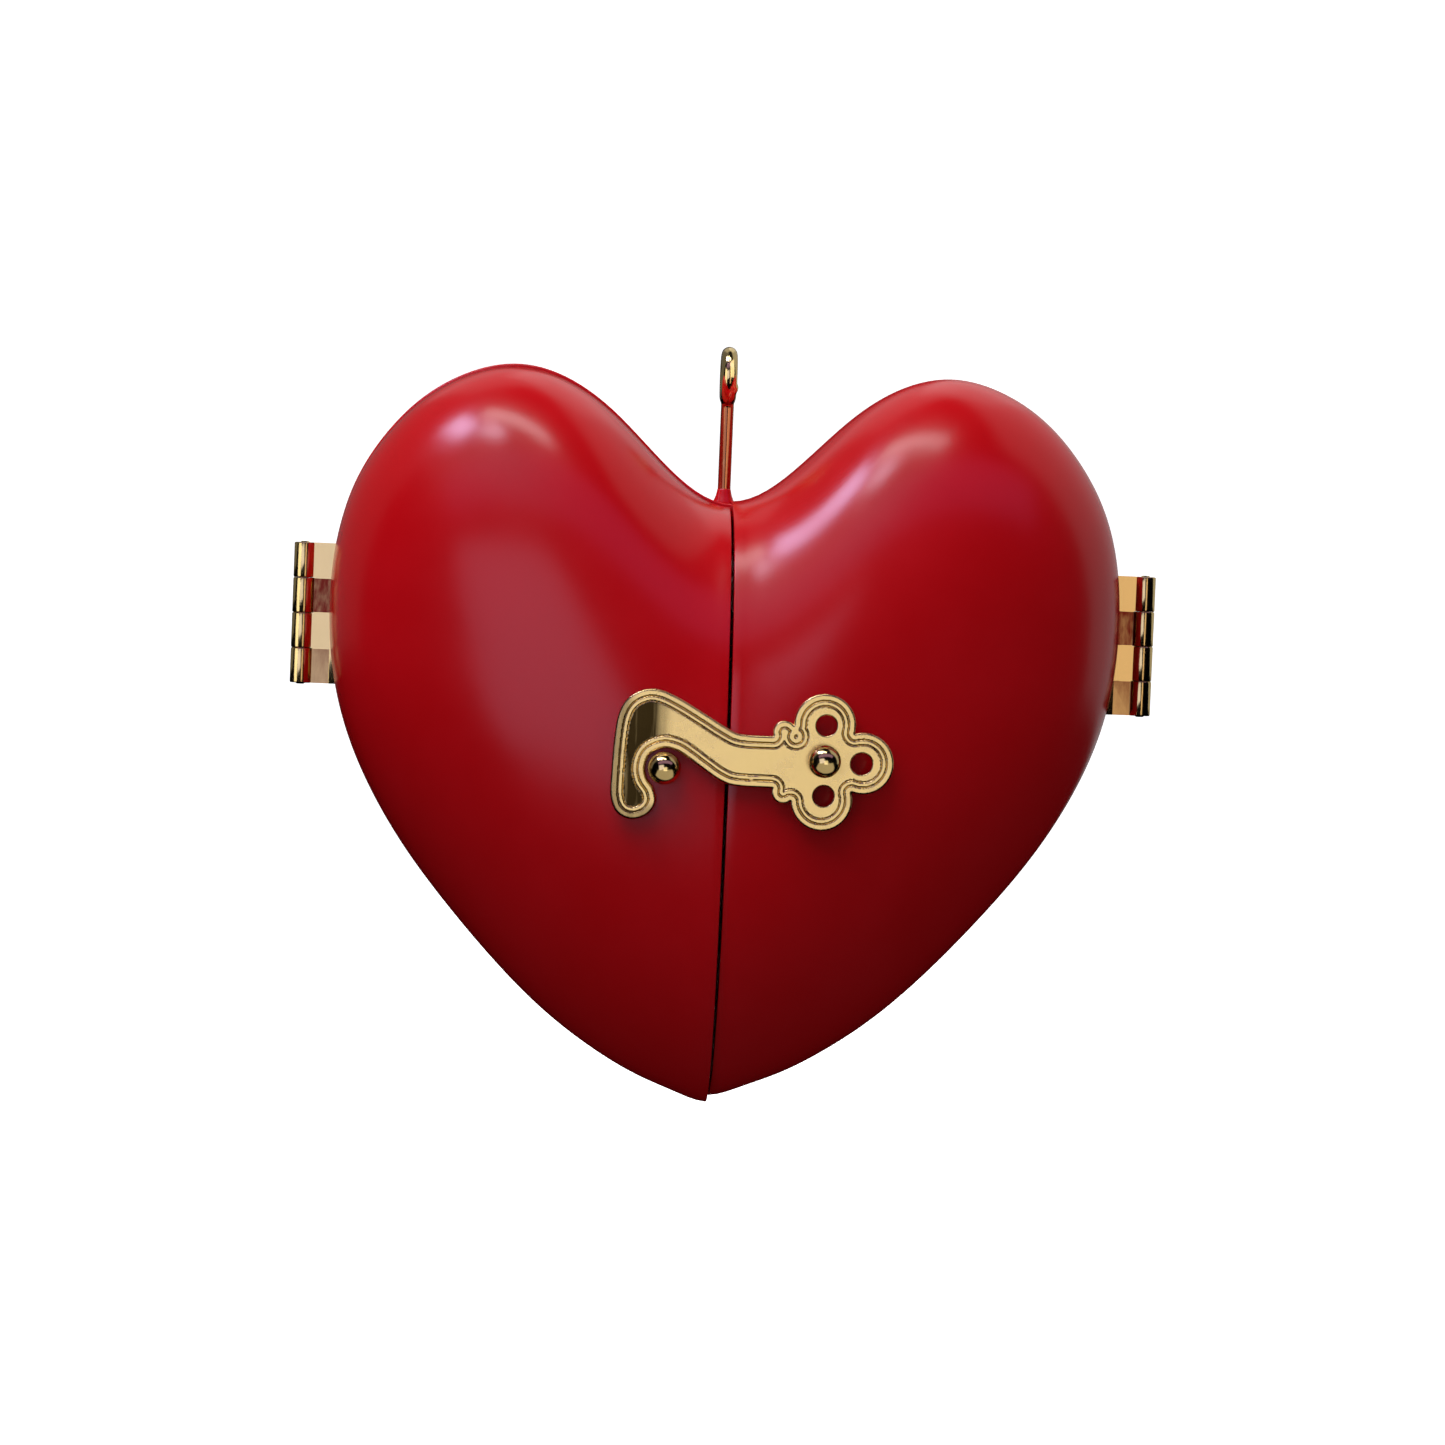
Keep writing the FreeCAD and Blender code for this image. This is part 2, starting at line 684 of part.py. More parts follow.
def slotted_screw(x, z, head_radius, head_front, head_back, shank_radius, tip, slot_on_front):
    """A slotted screw along y; the slot is on whichever end of the head faces out."""
    head = along_y(head_radius, x, z, head_front, head_back)
    shank_start = head_back if slot_on_front else head_front
    screw = join([head, along_y(shank_radius, x, z, shank_start, tip)])
    if slot_on_front:
        slot = block(x - 5, x + 5, head_front - 1, head_front + 0.4, z - 0.25, z + 0.25)
    else:
        slot = block(x - 5, x + 5, head_back - 0.4, head_back + 1, z - 0.25, z + 0.25)
    return screw.cut(slot)


panel_screws = []
for x, z in PANEL_SCREW_SPOTS:
    panel_screws.append(slotted_screw(x, z, 1.5, float(dims.panel_front) - 0.9, dims.panel_front, 0.8, 7.5, True))
solid_node("panel_screws", Part.makeCompound(panel_screws))

turned(
    "trim_ring",
    [
        (dims.trim_ring_inner, -dims.panel_front),
        (dims.trim_ring_outer, -dims.panel_front),
        (dims.trim_ring_outer - 0.6, 0.5),
        (dims.trim_ring_inner + 1.1, 0.9),
        (dims.trim_ring_inner, 0.3),
    ],
    NOWHERE, NOWHERE, MOVEMENT_Z, TURN_TO_FRONT,
)
DISC_BACK = dims.disc_front - dims.disc_thickness
turned(
    "turntable_disc",
    [
        (1.2, -0.2),
        (dims.spindle_radius, -0.2),
        (dims.spindle_radius, DISC_BACK),
        (dims.disc_radius, DISC_BACK),
        (dims.disc_radius, dims.disc_front - 0.3),
        (dims.disc_radius - 0.5, dims.disc_front),
        (1.2, dims.disc_front),
    ],
    NOWHERE, NOWHERE, MOVEMENT_Z, TURN_TO_FRONT,
)


def petal_layer(centre_y, radius, petals, lean, petal_radius, start):
    """A ring of cupped petals: round patches of one thin ball, leaning out from the middle."""
    centre = vec(0, centre_y, MOVEMENT_Z)
    ball = Part.makeSphere(radius, centre).cut(Part.makeSphere(radius - 0.5, centre))
    punches = []
    for index in range(petals):
        round_turn = math.radians(start + 360.0 * index / petals)
        tilt = math.radians(lean)
        out = vec(math.sin(tilt) * math.cos(round_turn), math.cos(tilt), math.sin(tilt) * math.sin(round_turn))
        punches.append(Part.makeCylinder(petal_radius, radius + 2, centre, out))
    punches.append(Part.makeCone(0, radius * 1.25, radius + 1, centre, vec(0, 1, 0)))
    return ball.common(join(punches))


rose_parts = [
    petal_layer(-10.1, 7.4, 5, 62, 4.2, 90),
    petal_layer(-10.6, 5.8, 5, 74, 3.3, 54),
    petal_layer(-11.2, 4.2, 4, 76, 2.7, 20),
    Part.makeSphere(2.3, vec(0, -11.6, MOVEMENT_Z)),
    along_y(1.6, 0, MOVEMENT_Z, -dims.disc_front, -11.0),
    Part.makeCone(3.4, 1.6, 1.4, vec(0, -dims.disc_front, MOVEMENT_Z), vec(0, -1, 0)),
]
solid_node("rose", join(rose_parts))

# ---------------------------------------------------------------- bedplate and winding parts

plate(
    "bedplate",
    [
        (-17.5, 0.5), (-17.5, -38.0), (-12.5, -43.0), (13.5, -43.0),
        (18.0, -36.0), (18.0, 0.5), (11.0, 6.5), (-11.0, 6.5),
    ],
    [(0, MOVEMENT_Z, dims.arbor_radius + dims.arbor_play)] + [(x, z, 0.9) for x, z in MOVEMENT_SCREW_SPOTS],
    dims.bedplate_thickness, NOWHERE, BEDPLATE_BACK, NOWHERE, TURN_TO_FRONT,
)
movement_screws = []
for x, z in MOVEMENT_SCREW_SPOTS:
    tip = dims.bedplate_front
    movement_screws.append(slotted_screw(x, z, 1.7, SCREW_SEAT, SCREW_SEAT + 1.2, 0.9, tip, False))
solid_node("movement_screws", Part.makeCompound(movement_screws))

HUB_FRONT = 4.8
HUB_BACK = 12.8
turned(
    "winding_arbor",
    [
        (0, 3.7), (1.0, 3.7), (1.0, 4.6), (1.5, HUB_FRONT), (2.4, HUB_FRONT), (2.4, HUB_BACK),
        (dims.arbor_radius, HUB_BACK), (dims.arbor_radius, dims.key_seat + 1.2), (1.3, dims.key_seat + 1.2),
        (1.3, dims.key_seat + 4.4), (0, dims.key_seat + 4.4),
    ],
    NOWHERE, NOWHERE, MOVEMENT_Z, TURN_TO_BACK,
)

# The key is a hub with two round wings that stand out behind the back shell.
KEY_START = dims.key_seat + 1.2
key_end = float(KEY_START) + 11.0
wing_radius = 4.6
wing_reach = float(dims.key_wing_span) / 2 - wing_radius
half_wing = dims.key_wing_thickness / 2
key_pieces = [along_y(dims.key_hub_radius, 0, MOVEMENT_Z, KEY_START, KEY_START + 6.0)]
key_pieces.append(block(-3.2, 3.2, KEY_START + 3.6, key_end - 1.5, MOVEMENT_Z - half_wing, MOVEMENT_Z + half_wing))
wing_holes = [along_y(1.3, 0, MOVEMENT_Z, KEY_START - 1, dims.key_seat + 4.4)]
for side in (-1, 1):
    wing_foot = vec(side * wing_reach, key_end - wing_radius, MOVEMENT_Z - half_wing)
    wing_lift = vec(0, 0, dims.key_wing_thickness)
    key_pieces.append(rod(wing_radius, wing_foot, wing_foot + wing_lift))
    wing_holes.append(rod(2.0, wing_foot, wing_foot + wing_lift))
solid_node("winding_key", join(key_pieces).cut(Part.makeCompound(wing_holes)))

turned(
    "key_escutcheon",
    [
        (2.6, 22.0), (3.1, 22.0), (3.1, dims.key_seat), (5.2, dims.key_seat),
        (5.2, dims.key_seat + 0.3), (4.7, dims.key_seat + 0.7), (2.6, dims.key_seat + 0.7),
    ],
    NOWHERE, NOWHERE, MOVEMENT_Z, TURN_TO_BACK,
)


def coil_spring(wire_radius, coil_radius, pitch, turns, x, front, z):
    """A round wire wound about a line along y, starting at the front."""
    spine = Part.makeHelix(pitch, pitch * turns, coil_radius)
    start = vec(coil_radius, 0, 0)
    section = Part.Wire(Part.makeCircle(wire_radius, start, vec(0, 1, 0)))
    spring = spine.makePipeShell([section], True, True)
    spring.rotate(vec(0, 0, 0), vec(1, 0, 0), -90)
    spring.translate(vec(x, front, z))
    return spring


solid_node("clutch_spring", coil_spring(0.35, float(dims.arbor_radius) + 0.42, 0.85, 3.5, 0, 16.6, MOVEMENT_Z))

# ---------------------------------------------------------------- spring barrel

CYLINDER_Y = dims.cylinder_axis_behind
CROWN_TIP = CYLINDER_Y + dims.pinion_pitch_radius - 0.42
CROWN_BASE = CYLINDER_Y + dims.pinion_pitch_radius + 0.65
CROWN_TEETH = 40
CROWN_IN = dims.crown_pitch_radius - dims.crown_face_width / 2
CROWN_OUT = dims.crown_pitch_radius + dims.crown_face_width / 2

drum = along_y(dims.drum_radius, 0, MOVEMENT_Z, dims.drum_front, CROWN_BASE)
wheel_disc = along_y(CROWN_OUT + 0.25, 0, MOVEMENT_Z, CROWN_BASE, CROWN_BASE + 0.85)
barrel = join([drum, wheel_disc])
barrel = barrel.cut(along_y(dims.drum_radius - dims.drum_wall, 0, MOVEMENT_Z, dims.drum_front - 1, HUB_BACK + 0.15))
barrel = barrel.cut(along_y(dims.arbor_radius + dims.arbor_play, 0, MOVEMENT_Z, 0, 20))
crown_teeth = []
for index in range(CROWN_TEETH):
    corners = []
    for height, half_root_width in ((float(CROWN_TIP), 0.14), (float(CROWN_BASE) + 0.2, 0.36)):
        for across in (-half_root_width, half_root_width):
            corners.append((across, height))
    ordered = [corners[0], corners[1], corners[3], corners[2]]
    tooth = prism([vec(across, y, -CROWN_OUT) for across, y in ordered], vec(0, 0, dims.crown_face_width))
    tooth.rotate(vec(0, 0, 0), vec(0, 1, 0), 360.0 * (index + 0.5) / CROWN_TEETH)
    tooth.translate(vec(0, 0, MOVEMENT_Z))
    crown_teeth.append(tooth)
barrel = barrel.multiFuse(crown_teeth)
solid_node("spring_barrel", barrel)

turned(
    "barrel_cover",
    [
        (0, -3.4), (1.05, -3.4), (1.05, -4.2), (dims.drum_radius - dims.drum_wall, -4.2),
        (dims.drum_radius - dims.drum_wall, -dims.drum_front), (dims.spindle_radius, -dims.drum_front),
        (dims.spindle_radius, -0.2), (1.2, -0.2), (1.2, dims.disc_front), (0, dims.disc_front),
    ],
    NOWHERE, NOWHERE, MOVEMENT_Z, TURN_TO_FRONT,
)


def spiral_strip(inner, outer, turns, thickness, front, back):
    """The coiled mainspring: one flat strip wound from its inner to its outer radius."""
    steps = int(turns * 16)
    sides = []
    for offset in (0.0, thickness):
        points = []
        for step in range(steps + 1):
            turn = 2 * math.pi * turns * step / steps
            radius = inner + (outer - thickness - inner) * step / steps + offset
            points.append(vec(radius * math.cos(turn), front, radius * math.sin(turn)))
        curve = Part.BSplineCurve()
        curve.interpolate(Points=points)
        sides.append((curve.toShape(), points))
    ends = [
        Part.makeLine(sides[0][1][-1], sides[1][1][-1]),
        Part.makeLine(sides[1][1][0], sides[0][1][0]),
    ]
    wire = Part.Wire(Part.__sortEdges__([sides[0][0], ends[0], sides[1][0], ends[1]]))
    strip = Part.Face(wire).extrude(vec(0, back - front, 0))
    strip.translate(vec(0, 0, MOVEMENT_Z))
    return strip


solid_node("mainspring", spiral_strip(2.7, 8.2, 5.0, 0.4, 5.2, 12.6))

# ---------------------------------------------------------------- music cylinder

TRACKS = 18
CYLINDER_TOP = -18.5
CYLINDER_BOTTOM = CYLINDER_TOP - float(dims.cylinder_length)
TRACK_STEP = 0.85
FIRST_TRACK = CYLINDER_TOP - 0.8
GEAR_TOP = -34.8
GEAR_BOTTOM = -36.0


def tooth_outline(teeth, root, tip, root_share, tip_share, turn):
    """Outline of a toothed wheel; the shares say how much of one tooth pitch is tooth."""
    points = []
    pitch = 2 * math.pi / teeth
    for index in range(teeth):
        middle = turn + pitch * index
        for radius, share in ((root, -root_share), (tip, -tip_share), (tip, tip_share), (root, root_share)):
            angle = middle + pitch * share / 2
            points.append((radius * math.cos(angle), radius * math.sin(angle)))
    return points


def upright_gear(teeth, root, tip, root_share, tip_share, turn, x, y, bottom, top, bore):
    """A toothed wheel on a vertical arbor."""
    outline = tooth_outline(teeth, root, tip, root_share, tip_share, turn)
    points = [vec(x + across, y + out, bottom) for across, out in outline]
    gear = prism(points, vec(0, 0, top - bottom))
    return gear.cut(rod(bore, vec(x, y, bottom - 1), vec(x, y, top + 1)))


turned(
    "music_cylinder",
    [
        (dims.cylinder_arbor_radius, 0), (dims.cylinder_radius, 0),
        (dims.cylinder_radius, dims.cylinder_length), (dims.cylinder_arbor_radius, dims.cylinder_length),
        (dims.cylinder_arbor_radius, dims.cylinder_length - 1.0),
        (dims.cylinder_radius - dims.cylinder_wall, dims.cylinder_length - 1.0),
        (dims.cylinder_radius - dims.cylinder_wall, 1.0), (dims.cylinder_arbor_radius, 1.0),
    ],
    NOWHERE, CYLINDER_Y, NOWHERE + CYLINDER_BOTTOM,
)
turned(
    "cylinder_arbor",
    [(0, -38.2), (dims.cylinder_arbor_radius, -38.2), (dims.cylinder_arbor_radius, -15.3), (0, -15.3)],
    NOWHERE, CYLINDER_Y, NOWHERE,
)
music_pins = []
for track in range(TRACKS):
    height = FIRST_TRACK - TRACK_STEP * track
    for note in range(5):
        place_in_tune = (track * 11 + note * 17 + track * note * 5) % 60
        turn = 2 * math.pi * place_in_tune / 60
        out = vec(math.cos(turn), math.sin(turn), 0)
        start = vec(0, CYLINDER_Y, height) + out * float(dims.cylinder_radius)
        music_pins.append(Part.makeCylinder(0.18, float(dims.music_pin_height), start, out))
solid_node("music_pins", Part.makeCompound(music_pins))
solid_node(
    "cylinder_pinion",
    upright_gear(16, 3.45, 4.58, 0.62, 0.22, 0.0, 0, float(CYLINDER_Y), -16.9, -15.5, dims.cylinder_arbor_radius),
)
solid_node(
    "cylinder_gear",
    upright_gear(32, 4.42, 5.08, 0.60, 0.24, math.pi, 0, float(CYLINDER_Y), GEAR_BOTTOM, GEAR_TOP,
                 dims.cylinder_arbor_radius),
)

# ---------------------------------------------------------------- comb

COMB_TIP = float(dims.cylinder_radius + dims.music_pin_height) + 0.25
COMB_BACK = 15.6
comb_half = dims.comb_thickness / 2
comb_top = FIRST_TRACK + TRACK_STEP / 2
comb_bottom = comb_top - TRACK_STEP * TRACKS
comb = block(COMB_TIP, COMB_BACK, CYLINDER_Y - comb_half, CYLINDER_Y + comb_half, comb_bottom, comb_top)
slots = []
for gap in range(1, TRACKS):
    height = comb_top - TRACK_STEP * gap
    slot_end = 9.4 + 1.8 * gap / TRACKS
    slots.append(block(0, slot_end, 0, 20, height - 0.11, height + 0.11))
thin = block(0, 9.2, CYLINDER_Y, 20, -60, 0)
slots.append(thin)
comb_screw_spots = [(13.6, comb_top - 3.4), (13.6, comb_bottom + 3.4)]
for x, z in comb_screw_spots:
    slots.append(along_y(0.7, x, z, 0, 20))
solid_node("comb", comb.cut(Part.makeCompound(slots)))
comb_seat = block(11.6, COMB_BACK + 0.8, CYLINDER_Y + comb_half, dims.bedplate_front, comb_bottom, comb_top)
for x, z in comb_screw_spots:
    comb_seat = comb_seat.cut(along_y(0.7, x, z, 0, 13.0))
solid_node("comb_seat", comb_seat)
comb_screws = []
for x, z in comb_screw_spots:
    head_front = float(CYLINDER_Y - comb_half) - 0.9
    comb_screws.append(slotted_screw(x, z, 1.4, head_front, head_front + 0.9, 0.7, 12.6, True))
solid_node("comb_screws", Part.makeCompound(comb_screws))

# ---------------------------------------------------------------- speed governor

TRAIN_X = -(32 + 8) * float(dims.train_module) / 2 - 0.06
WORM_X = TRAIN_X - float(dims.worm_wheel_pitch_radius + dims.worm_pitch_radius) - 0.06
WORM_Z = -38.9
WORM_TEETH = 20
train_bore = dims.train_arbor_radius + dims.small_play
cylinder_bore = dims.cylinder_arbor_radius + dims.small_play
SEAT_Y = float(dims.bedplate_front)
top_bearing = join([
    block(-8.6, 2.2, 6.4, SEAT_Y, -18.2, -17.4),
    block(-8.6, -5.4, SEAT_Y - 0.9, SEAT_Y, -22.0, -17.4),
])
top_bearing = top_bearing.cut(rod(cylinder_bore, vec(0, CYLINDER_Y, -30), vec(0, CYLINDER_Y, 0)))
solid_node("cylinder_bearing", top_bearing.cut(block(-5.4, 9, 12.0, 20, -30, 0)))
frame = join([
    block(-8.2, 3.0, 6.2, SEAT_Y, -37.6, -36.6),
    block(-8.2, -3.8, 6.2, SEAT_Y, -41.6, -40.8),
    block(-14.8, 3.0, SEAT_Y - 1.0, SEAT_Y, -41.6, -36.6),
    block(-14.8, -14.0, 5.2, SEAT_Y, -41.0, -36.8),
    block(-14.8, -9.9, 5.2, 6.0, -41.0, -36.8),
])
frame_bores = [
    rod(cylinder_bore, vec(0, CYLINDER_Y, -39), vec(0, CYLINDER_Y, -30)),
    rod(train_bore, vec(TRAIN_X, CYLINDER_Y, -45), vec(TRAIN_X, CYLINDER_Y, -30)),
    along_y(train_bore, WORM_X, WORM_Z, 0, SEAT_Y - 0.3),
]
solid_node("governor_frame", frame.cut(Part.makeCompound(frame_bores)))

train_arbor = rod(dims.train_arbor_radius, vec(TRAIN_X, CYLINDER_Y, -41.8), vec(TRAIN_X, CYLINDER_Y, -34.7))
train_pinion = upright_gear(8, 0.78, 1.5, 0.50, 0.20, math.pi / 8, TRAIN_X, float(CYLINDER_Y), -36.1, -34.7,
                            dims.train_arbor_radius)
solid_node("train_pinion", join([train_arbor, train_pinion]))
solid_node(
    "worm_wheel",
    upright_gear(WORM_TEETH, 3.55, 4.30, 0.42, 0.18, math.pi, TRAIN_X, float(CYLINDER_Y), WORM_Z - 0.35,
                 WORM_Z + 0.35, dims.train_arbor_radius),
)


def worm_thread(root, tip, lead, turns, foot_width, tip_width):
    """A screw ridge about the Z axis, made as a trapezium swept along a helix."""
    length = lead * turns
    spine = Part.makeHelix(lead, length, root)
    points = [
        vec(root - 0.25, 0, -foot_width / 2), vec(tip, 0, -tip_width / 2),
        vec(tip, 0, tip_width / 2), vec(root - 0.25, 0, foot_width / 2),
    ]
    section = Part.makePolygon(points + [points[0]])
    return Part.Wire(spine).makePipeShell([section], True, True)


WORM_LEAD = 2 * math.pi * float(dims.worm_wheel_pitch_radius) / WORM_TEETH
thread = worm_thread(0.85, 1.48, WORM_LEAD, 3.5, 0.48, 0.18)
thread.rotate(vec(0, 0, 0), vec(1, 0, 0), -90)
thread.translate(vec(WORM_X, float(CYLINDER_Y) - WORM_LEAD * 1.75, WORM_Z))
worm_core = along_y(0.9, WORM_X, WORM_Z, 6.3, 11.4)
worm_arbor = along_y(dims.train_arbor_radius, WORM_X, WORM_Z, 2.7, SEAT_Y - 0.4)
solid_node("governor_worm", join([worm_core, worm_arbor, thread]))
blade = block(-4.1, 4.1, 2.9, 4.6, -0.16, 0.16)
hub = rod(0.8, vec(0, 2.9, 0), vec(0, 4.6, 0))
fly = join([blade, hub]).cut(rod(dims.train_arbor_radius, vec(0, 0, 0), vec(0, 9, 0)))
fly.rotate(vec(0, 0, 0), vec(0, 1, 0), 30)
fly.translate(vec(WORM_X, 0, WORM_Z))
solid_node("air_brake", fly)

# ---------------------------------------------------------------- checks and export

doc.recompute()
for item in doc.Objects:
    for word in ("Invalid", "Error"):
        if word in item.State:
            raise SystemExit("not built: " + item.Label)
for node in NODES:
    if node.Shape.isNull() or not node.Shape.isValid() or not node.Shape.Solids:
        raise SystemExit("bad shape: " + node.Label)
for node in NODES:
    node.Shape.exportStep("parts/" + node.Label + ".step")
    print(node.Label, len(node.Shape.Solids), round(node.Shape.Volume, 2))
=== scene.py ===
import contextlib
import json
import math
import random

import bmesh
import bpy
import numpy as np
from mathutils import Matrix, Vector, kdtree

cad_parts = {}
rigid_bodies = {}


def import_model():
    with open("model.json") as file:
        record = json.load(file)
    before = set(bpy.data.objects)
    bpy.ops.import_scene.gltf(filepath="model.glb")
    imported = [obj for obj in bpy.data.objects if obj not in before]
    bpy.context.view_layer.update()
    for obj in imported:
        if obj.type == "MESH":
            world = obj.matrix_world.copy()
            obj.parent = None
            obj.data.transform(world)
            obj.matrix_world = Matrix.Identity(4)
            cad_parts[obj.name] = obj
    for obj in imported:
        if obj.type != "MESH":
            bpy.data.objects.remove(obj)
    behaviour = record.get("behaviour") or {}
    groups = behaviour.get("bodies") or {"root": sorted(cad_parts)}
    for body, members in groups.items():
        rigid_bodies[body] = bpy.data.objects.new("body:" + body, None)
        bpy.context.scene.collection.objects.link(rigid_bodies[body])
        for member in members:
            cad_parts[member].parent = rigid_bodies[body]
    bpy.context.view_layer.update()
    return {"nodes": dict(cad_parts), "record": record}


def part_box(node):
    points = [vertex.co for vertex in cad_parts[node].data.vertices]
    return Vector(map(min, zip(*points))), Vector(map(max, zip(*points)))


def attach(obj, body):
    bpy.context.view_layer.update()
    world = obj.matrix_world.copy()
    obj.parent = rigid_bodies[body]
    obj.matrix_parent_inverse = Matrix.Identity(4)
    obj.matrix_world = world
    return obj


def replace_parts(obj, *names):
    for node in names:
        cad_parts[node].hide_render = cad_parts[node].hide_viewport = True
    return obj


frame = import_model()
MM = 0.001

JOINTS = {joint["name"]: np.array(joint["pos_m"], float) for joint in frame["record"]["behaviour"]["joints"]}
RIGHT_AXIS = JOINTS["right_door_hinge"]
LATCH = JOINTS["latch_pivot"]
# The middle of the heart, in the plane where the doors meet the back.
HEART = (JOINTS["left_door_hinge"] + RIGHT_AXIS) / 2


def spot(x, y, z):
    """A point of the heart, given in millimetres from its middle, in the row frame."""
    return HEART + np.array((x, y, z), float) * MM


# ------------------------------------------------------------------ mesh helpers

def new_object(name, data):
    obj = bpy.data.objects.new(name, data)
    bpy.context.scene.collection.objects.link(obj)
    return obj


def plain_mesh(name, verts, faces, check=False):
    mesh = bpy.data.meshes.new(name)
    mesh.from_pydata([tuple(v) for v in verts], [], [tuple(f) for f in faces])
    if check:
        mesh.validate()
    mesh.update()
    return mesh


def dress(mesh, material):
    """One material all over, shaded smooth."""
    mesh.materials.clear()
    mesh.materials.append(material)
    mesh.polygons.foreach_set("material_index", [0] * len(mesh.polygons))
    mesh.polygons.foreach_set("use_smooth", [True] * len(mesh.polygons))


def mesh_object(name, verts, faces, body, slot_name, material):
    """A piece on a body; the floor has none."""
    obj = new_object(name, plain_mesh(name, verts, faces, True))
    dress(obj.data, material)
    if body is not None:
        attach(obj, body)
    return obj


@contextlib.contextmanager
def edited(obj):
    """The object's mesh as a bmesh, put back afterwards."""
    bm = bmesh.new()
    bm.from_mesh(obj.data)
    yield bm
    bm.to_mesh(obj.data)
    bm.free()


def sharpen(obj, degrees=40):
    """Keeps real corners crisp while the rest shades smoothly."""
    limit = math.radians(degrees)
    with edited(obj) as bm:
        for edge in bm.edges:
            if len(edge.link_faces) == 2 and edge.calc_face_angle(0) > limit:
                edge.smooth = False
    return obj


def outward(obj):
    with edited(obj) as bm:
        bmesh.ops.recalc_face_normals(bm, faces=bm.faces[:])
    return obj


def clean(obj):
    """Merges the points that meet and turns the faces outwards."""
    with edited(obj) as bm:
        bmesh.ops.remove_doubles(bm, verts=bm.verts[:], dist=2e-6)
        bmesh.ops.dissolve_degenerate(bm, dist=1e-7, edges=bm.edges[:])
        bmesh.ops.recalc_face_normals(bm, faces=bm.faces[:])
    return obj


def bake(obj):
    """Makes an object's modifiers part of its mesh."""
    material = obj.data.materials[0]
    graph = bpy.context.evaluated_depsgraph_get()
    graph.update()
    made = bpy.data.meshes.new_from_object(obj.evaluated_get(graph))
    obj.modifiers.clear()
    obj.data = made
    dress(made, material)


def combine(obj, parts, operation, solver="EXACT"):
    """Joins closed (verts, faces) shapes to a mesh with UNION or cuts them out with DIFFERENCE."""
    tools = []
    for verts, faces in parts:
        tool = outward(new_object("tool", plain_mesh("tool", verts, faces)))
        modifier = obj.modifiers.new("combine", "BOOLEAN")
        modifier.operation = operation
        modifier.solver = solver
        modifier.object = tool
        tools.append(tool)
    bake(obj)
    for tool in tools:
        bpy.data.objects.remove(tool)


def frame_of(axis):
    """Two directions square to an axis, and the axis."""
    axis = np.array(axis, float)
    axis = axis / np.linalg.norm(axis)
    helper = np.array((0.0, 0.0, 1.0)) if abs(axis[2]) < 0.9 else np.array((1.0, 0.0, 0.0))
    side = np.cross(helper, axis)
    side = side / np.linalg.norm(side)
    return side, np.cross(axis, side), axis


def corner(before, here, after, radius, shares=(0, 1 / 3, 2 / 3, 1)):
    """A rounded corner of a profile."""
    before, after = before - here, after - here
    reach = min(radius, np.linalg.norm(before) * 0.45, np.linalg.norm(after) * 0.45)
    a = here + before / np.linalg.norm(before) * reach
    b = here + after / np.linalg.norm(after) * reach
    return [a * (1 - t) ** 2 + here * 2 * t * (1 - t) + b * t ** 2 for t in shares]


def round_profile(profile, radius):
    """Rounds the corners of a lathe profile that are off the axis."""
    points = [np.array(p, float) for p in profile]
    result = points[:1]
    for before, here, after in zip(points, points[1:], points[2:]):
        result += [here] if here[0] <= 1e-9 else corner(before, here, after, radius)
    return result + points[-1:]


def turns(count):
    return [2 * math.pi * k / count for k in range(count)]


def lathe_data(profile, start, axis, segments=64, scale=MM):
    """A surface turned about an axis; the profile is (radius, height) pairs, in millimetres unless scaled."""
    side, up, along = frame_of(axis)
    verts, faces, rings = [], [], []
    for radius, height in profile:
        base = start + along * (height * scale)
        if radius * scale < 1e-9:
            rings.append([len(verts)] * segments)
            verts.append(base)
            continue
        rings.append(range(len(verts), len(verts) + segments))
        verts += [base + radius * scale * (math.cos(t) * side + math.sin(t) * up) for t in turns(segments)]
    for low, high in zip(rings, rings[1:]):
        for k in range(segments):
            following = (k + 1) % segments
            face = tuple(dict.fromkeys((low[k], low[following], high[following], high[k])))
            if len(face) > 2:
                faces.append(face)
    return verts, faces


def ring_data(profile, start, axis, segments=64):
    """Like lathe_data, for a closed profile that never meets the axis."""
    side, up, along = frame_of(axis)
    verts, faces, count = [], [], len(profile)
    for turn in turns(segments):
        out = math.cos(turn) * side + math.sin(turn) * up
        verts += [start + along * (height * MM) + radius * MM * out for radius, height in profile]
    for k in range(segments):
        here, there = k * count, (k + 1) % segments * count
        for i in range(count):
            following = (i + 1) % count
            faces.append((here + i, there + i, there + following, here + following))
    return verts, faces


def grid_faces(wide, tall):
    """The quads of a sheet of tall rows with wide quads in each."""
    corners = [i * (wide + 1) + j for i in range(tall) for j in range(wide)]
    return [(a, a + 1, a + wide + 2, a + wide + 1) for a in corners]


def box_data(low, high, bevel):
    bm = bmesh.new()
    bmesh.ops.create_cube(bm, size=1.0)
    low, high = Vector(low), Vector(high)
    centre, size = (low + high) / 2, high - low
    for vert in bm.verts:
        vert.co = Vector((vert.co.x * size.x, vert.co.y * size.y, vert.co.z * size.z)) + centre
    if bevel:
        bmesh.ops.bevel(bm, geom=bm.edges[:], offset=bevel, segments=2, profile=0.5, affect="EDGES")
    verts = [tuple(v.co) for v in bm.verts]
    bm.verts.index_update()
    faces = [tuple(v.index for v in f.verts) for f in bm.faces]
    bm.free()
    return verts, faces


def merge(parts):
    """Several (verts, faces) pairs as one."""
    verts, faces = [], []
    for part_verts, part_faces in parts:
        base = len(verts)
        verts.extend(part_verts)
        faces.extend(tuple(i + base for i in face) for face in part_faces)
    return verts, faces


# ------------------------------------------------------------------ materials

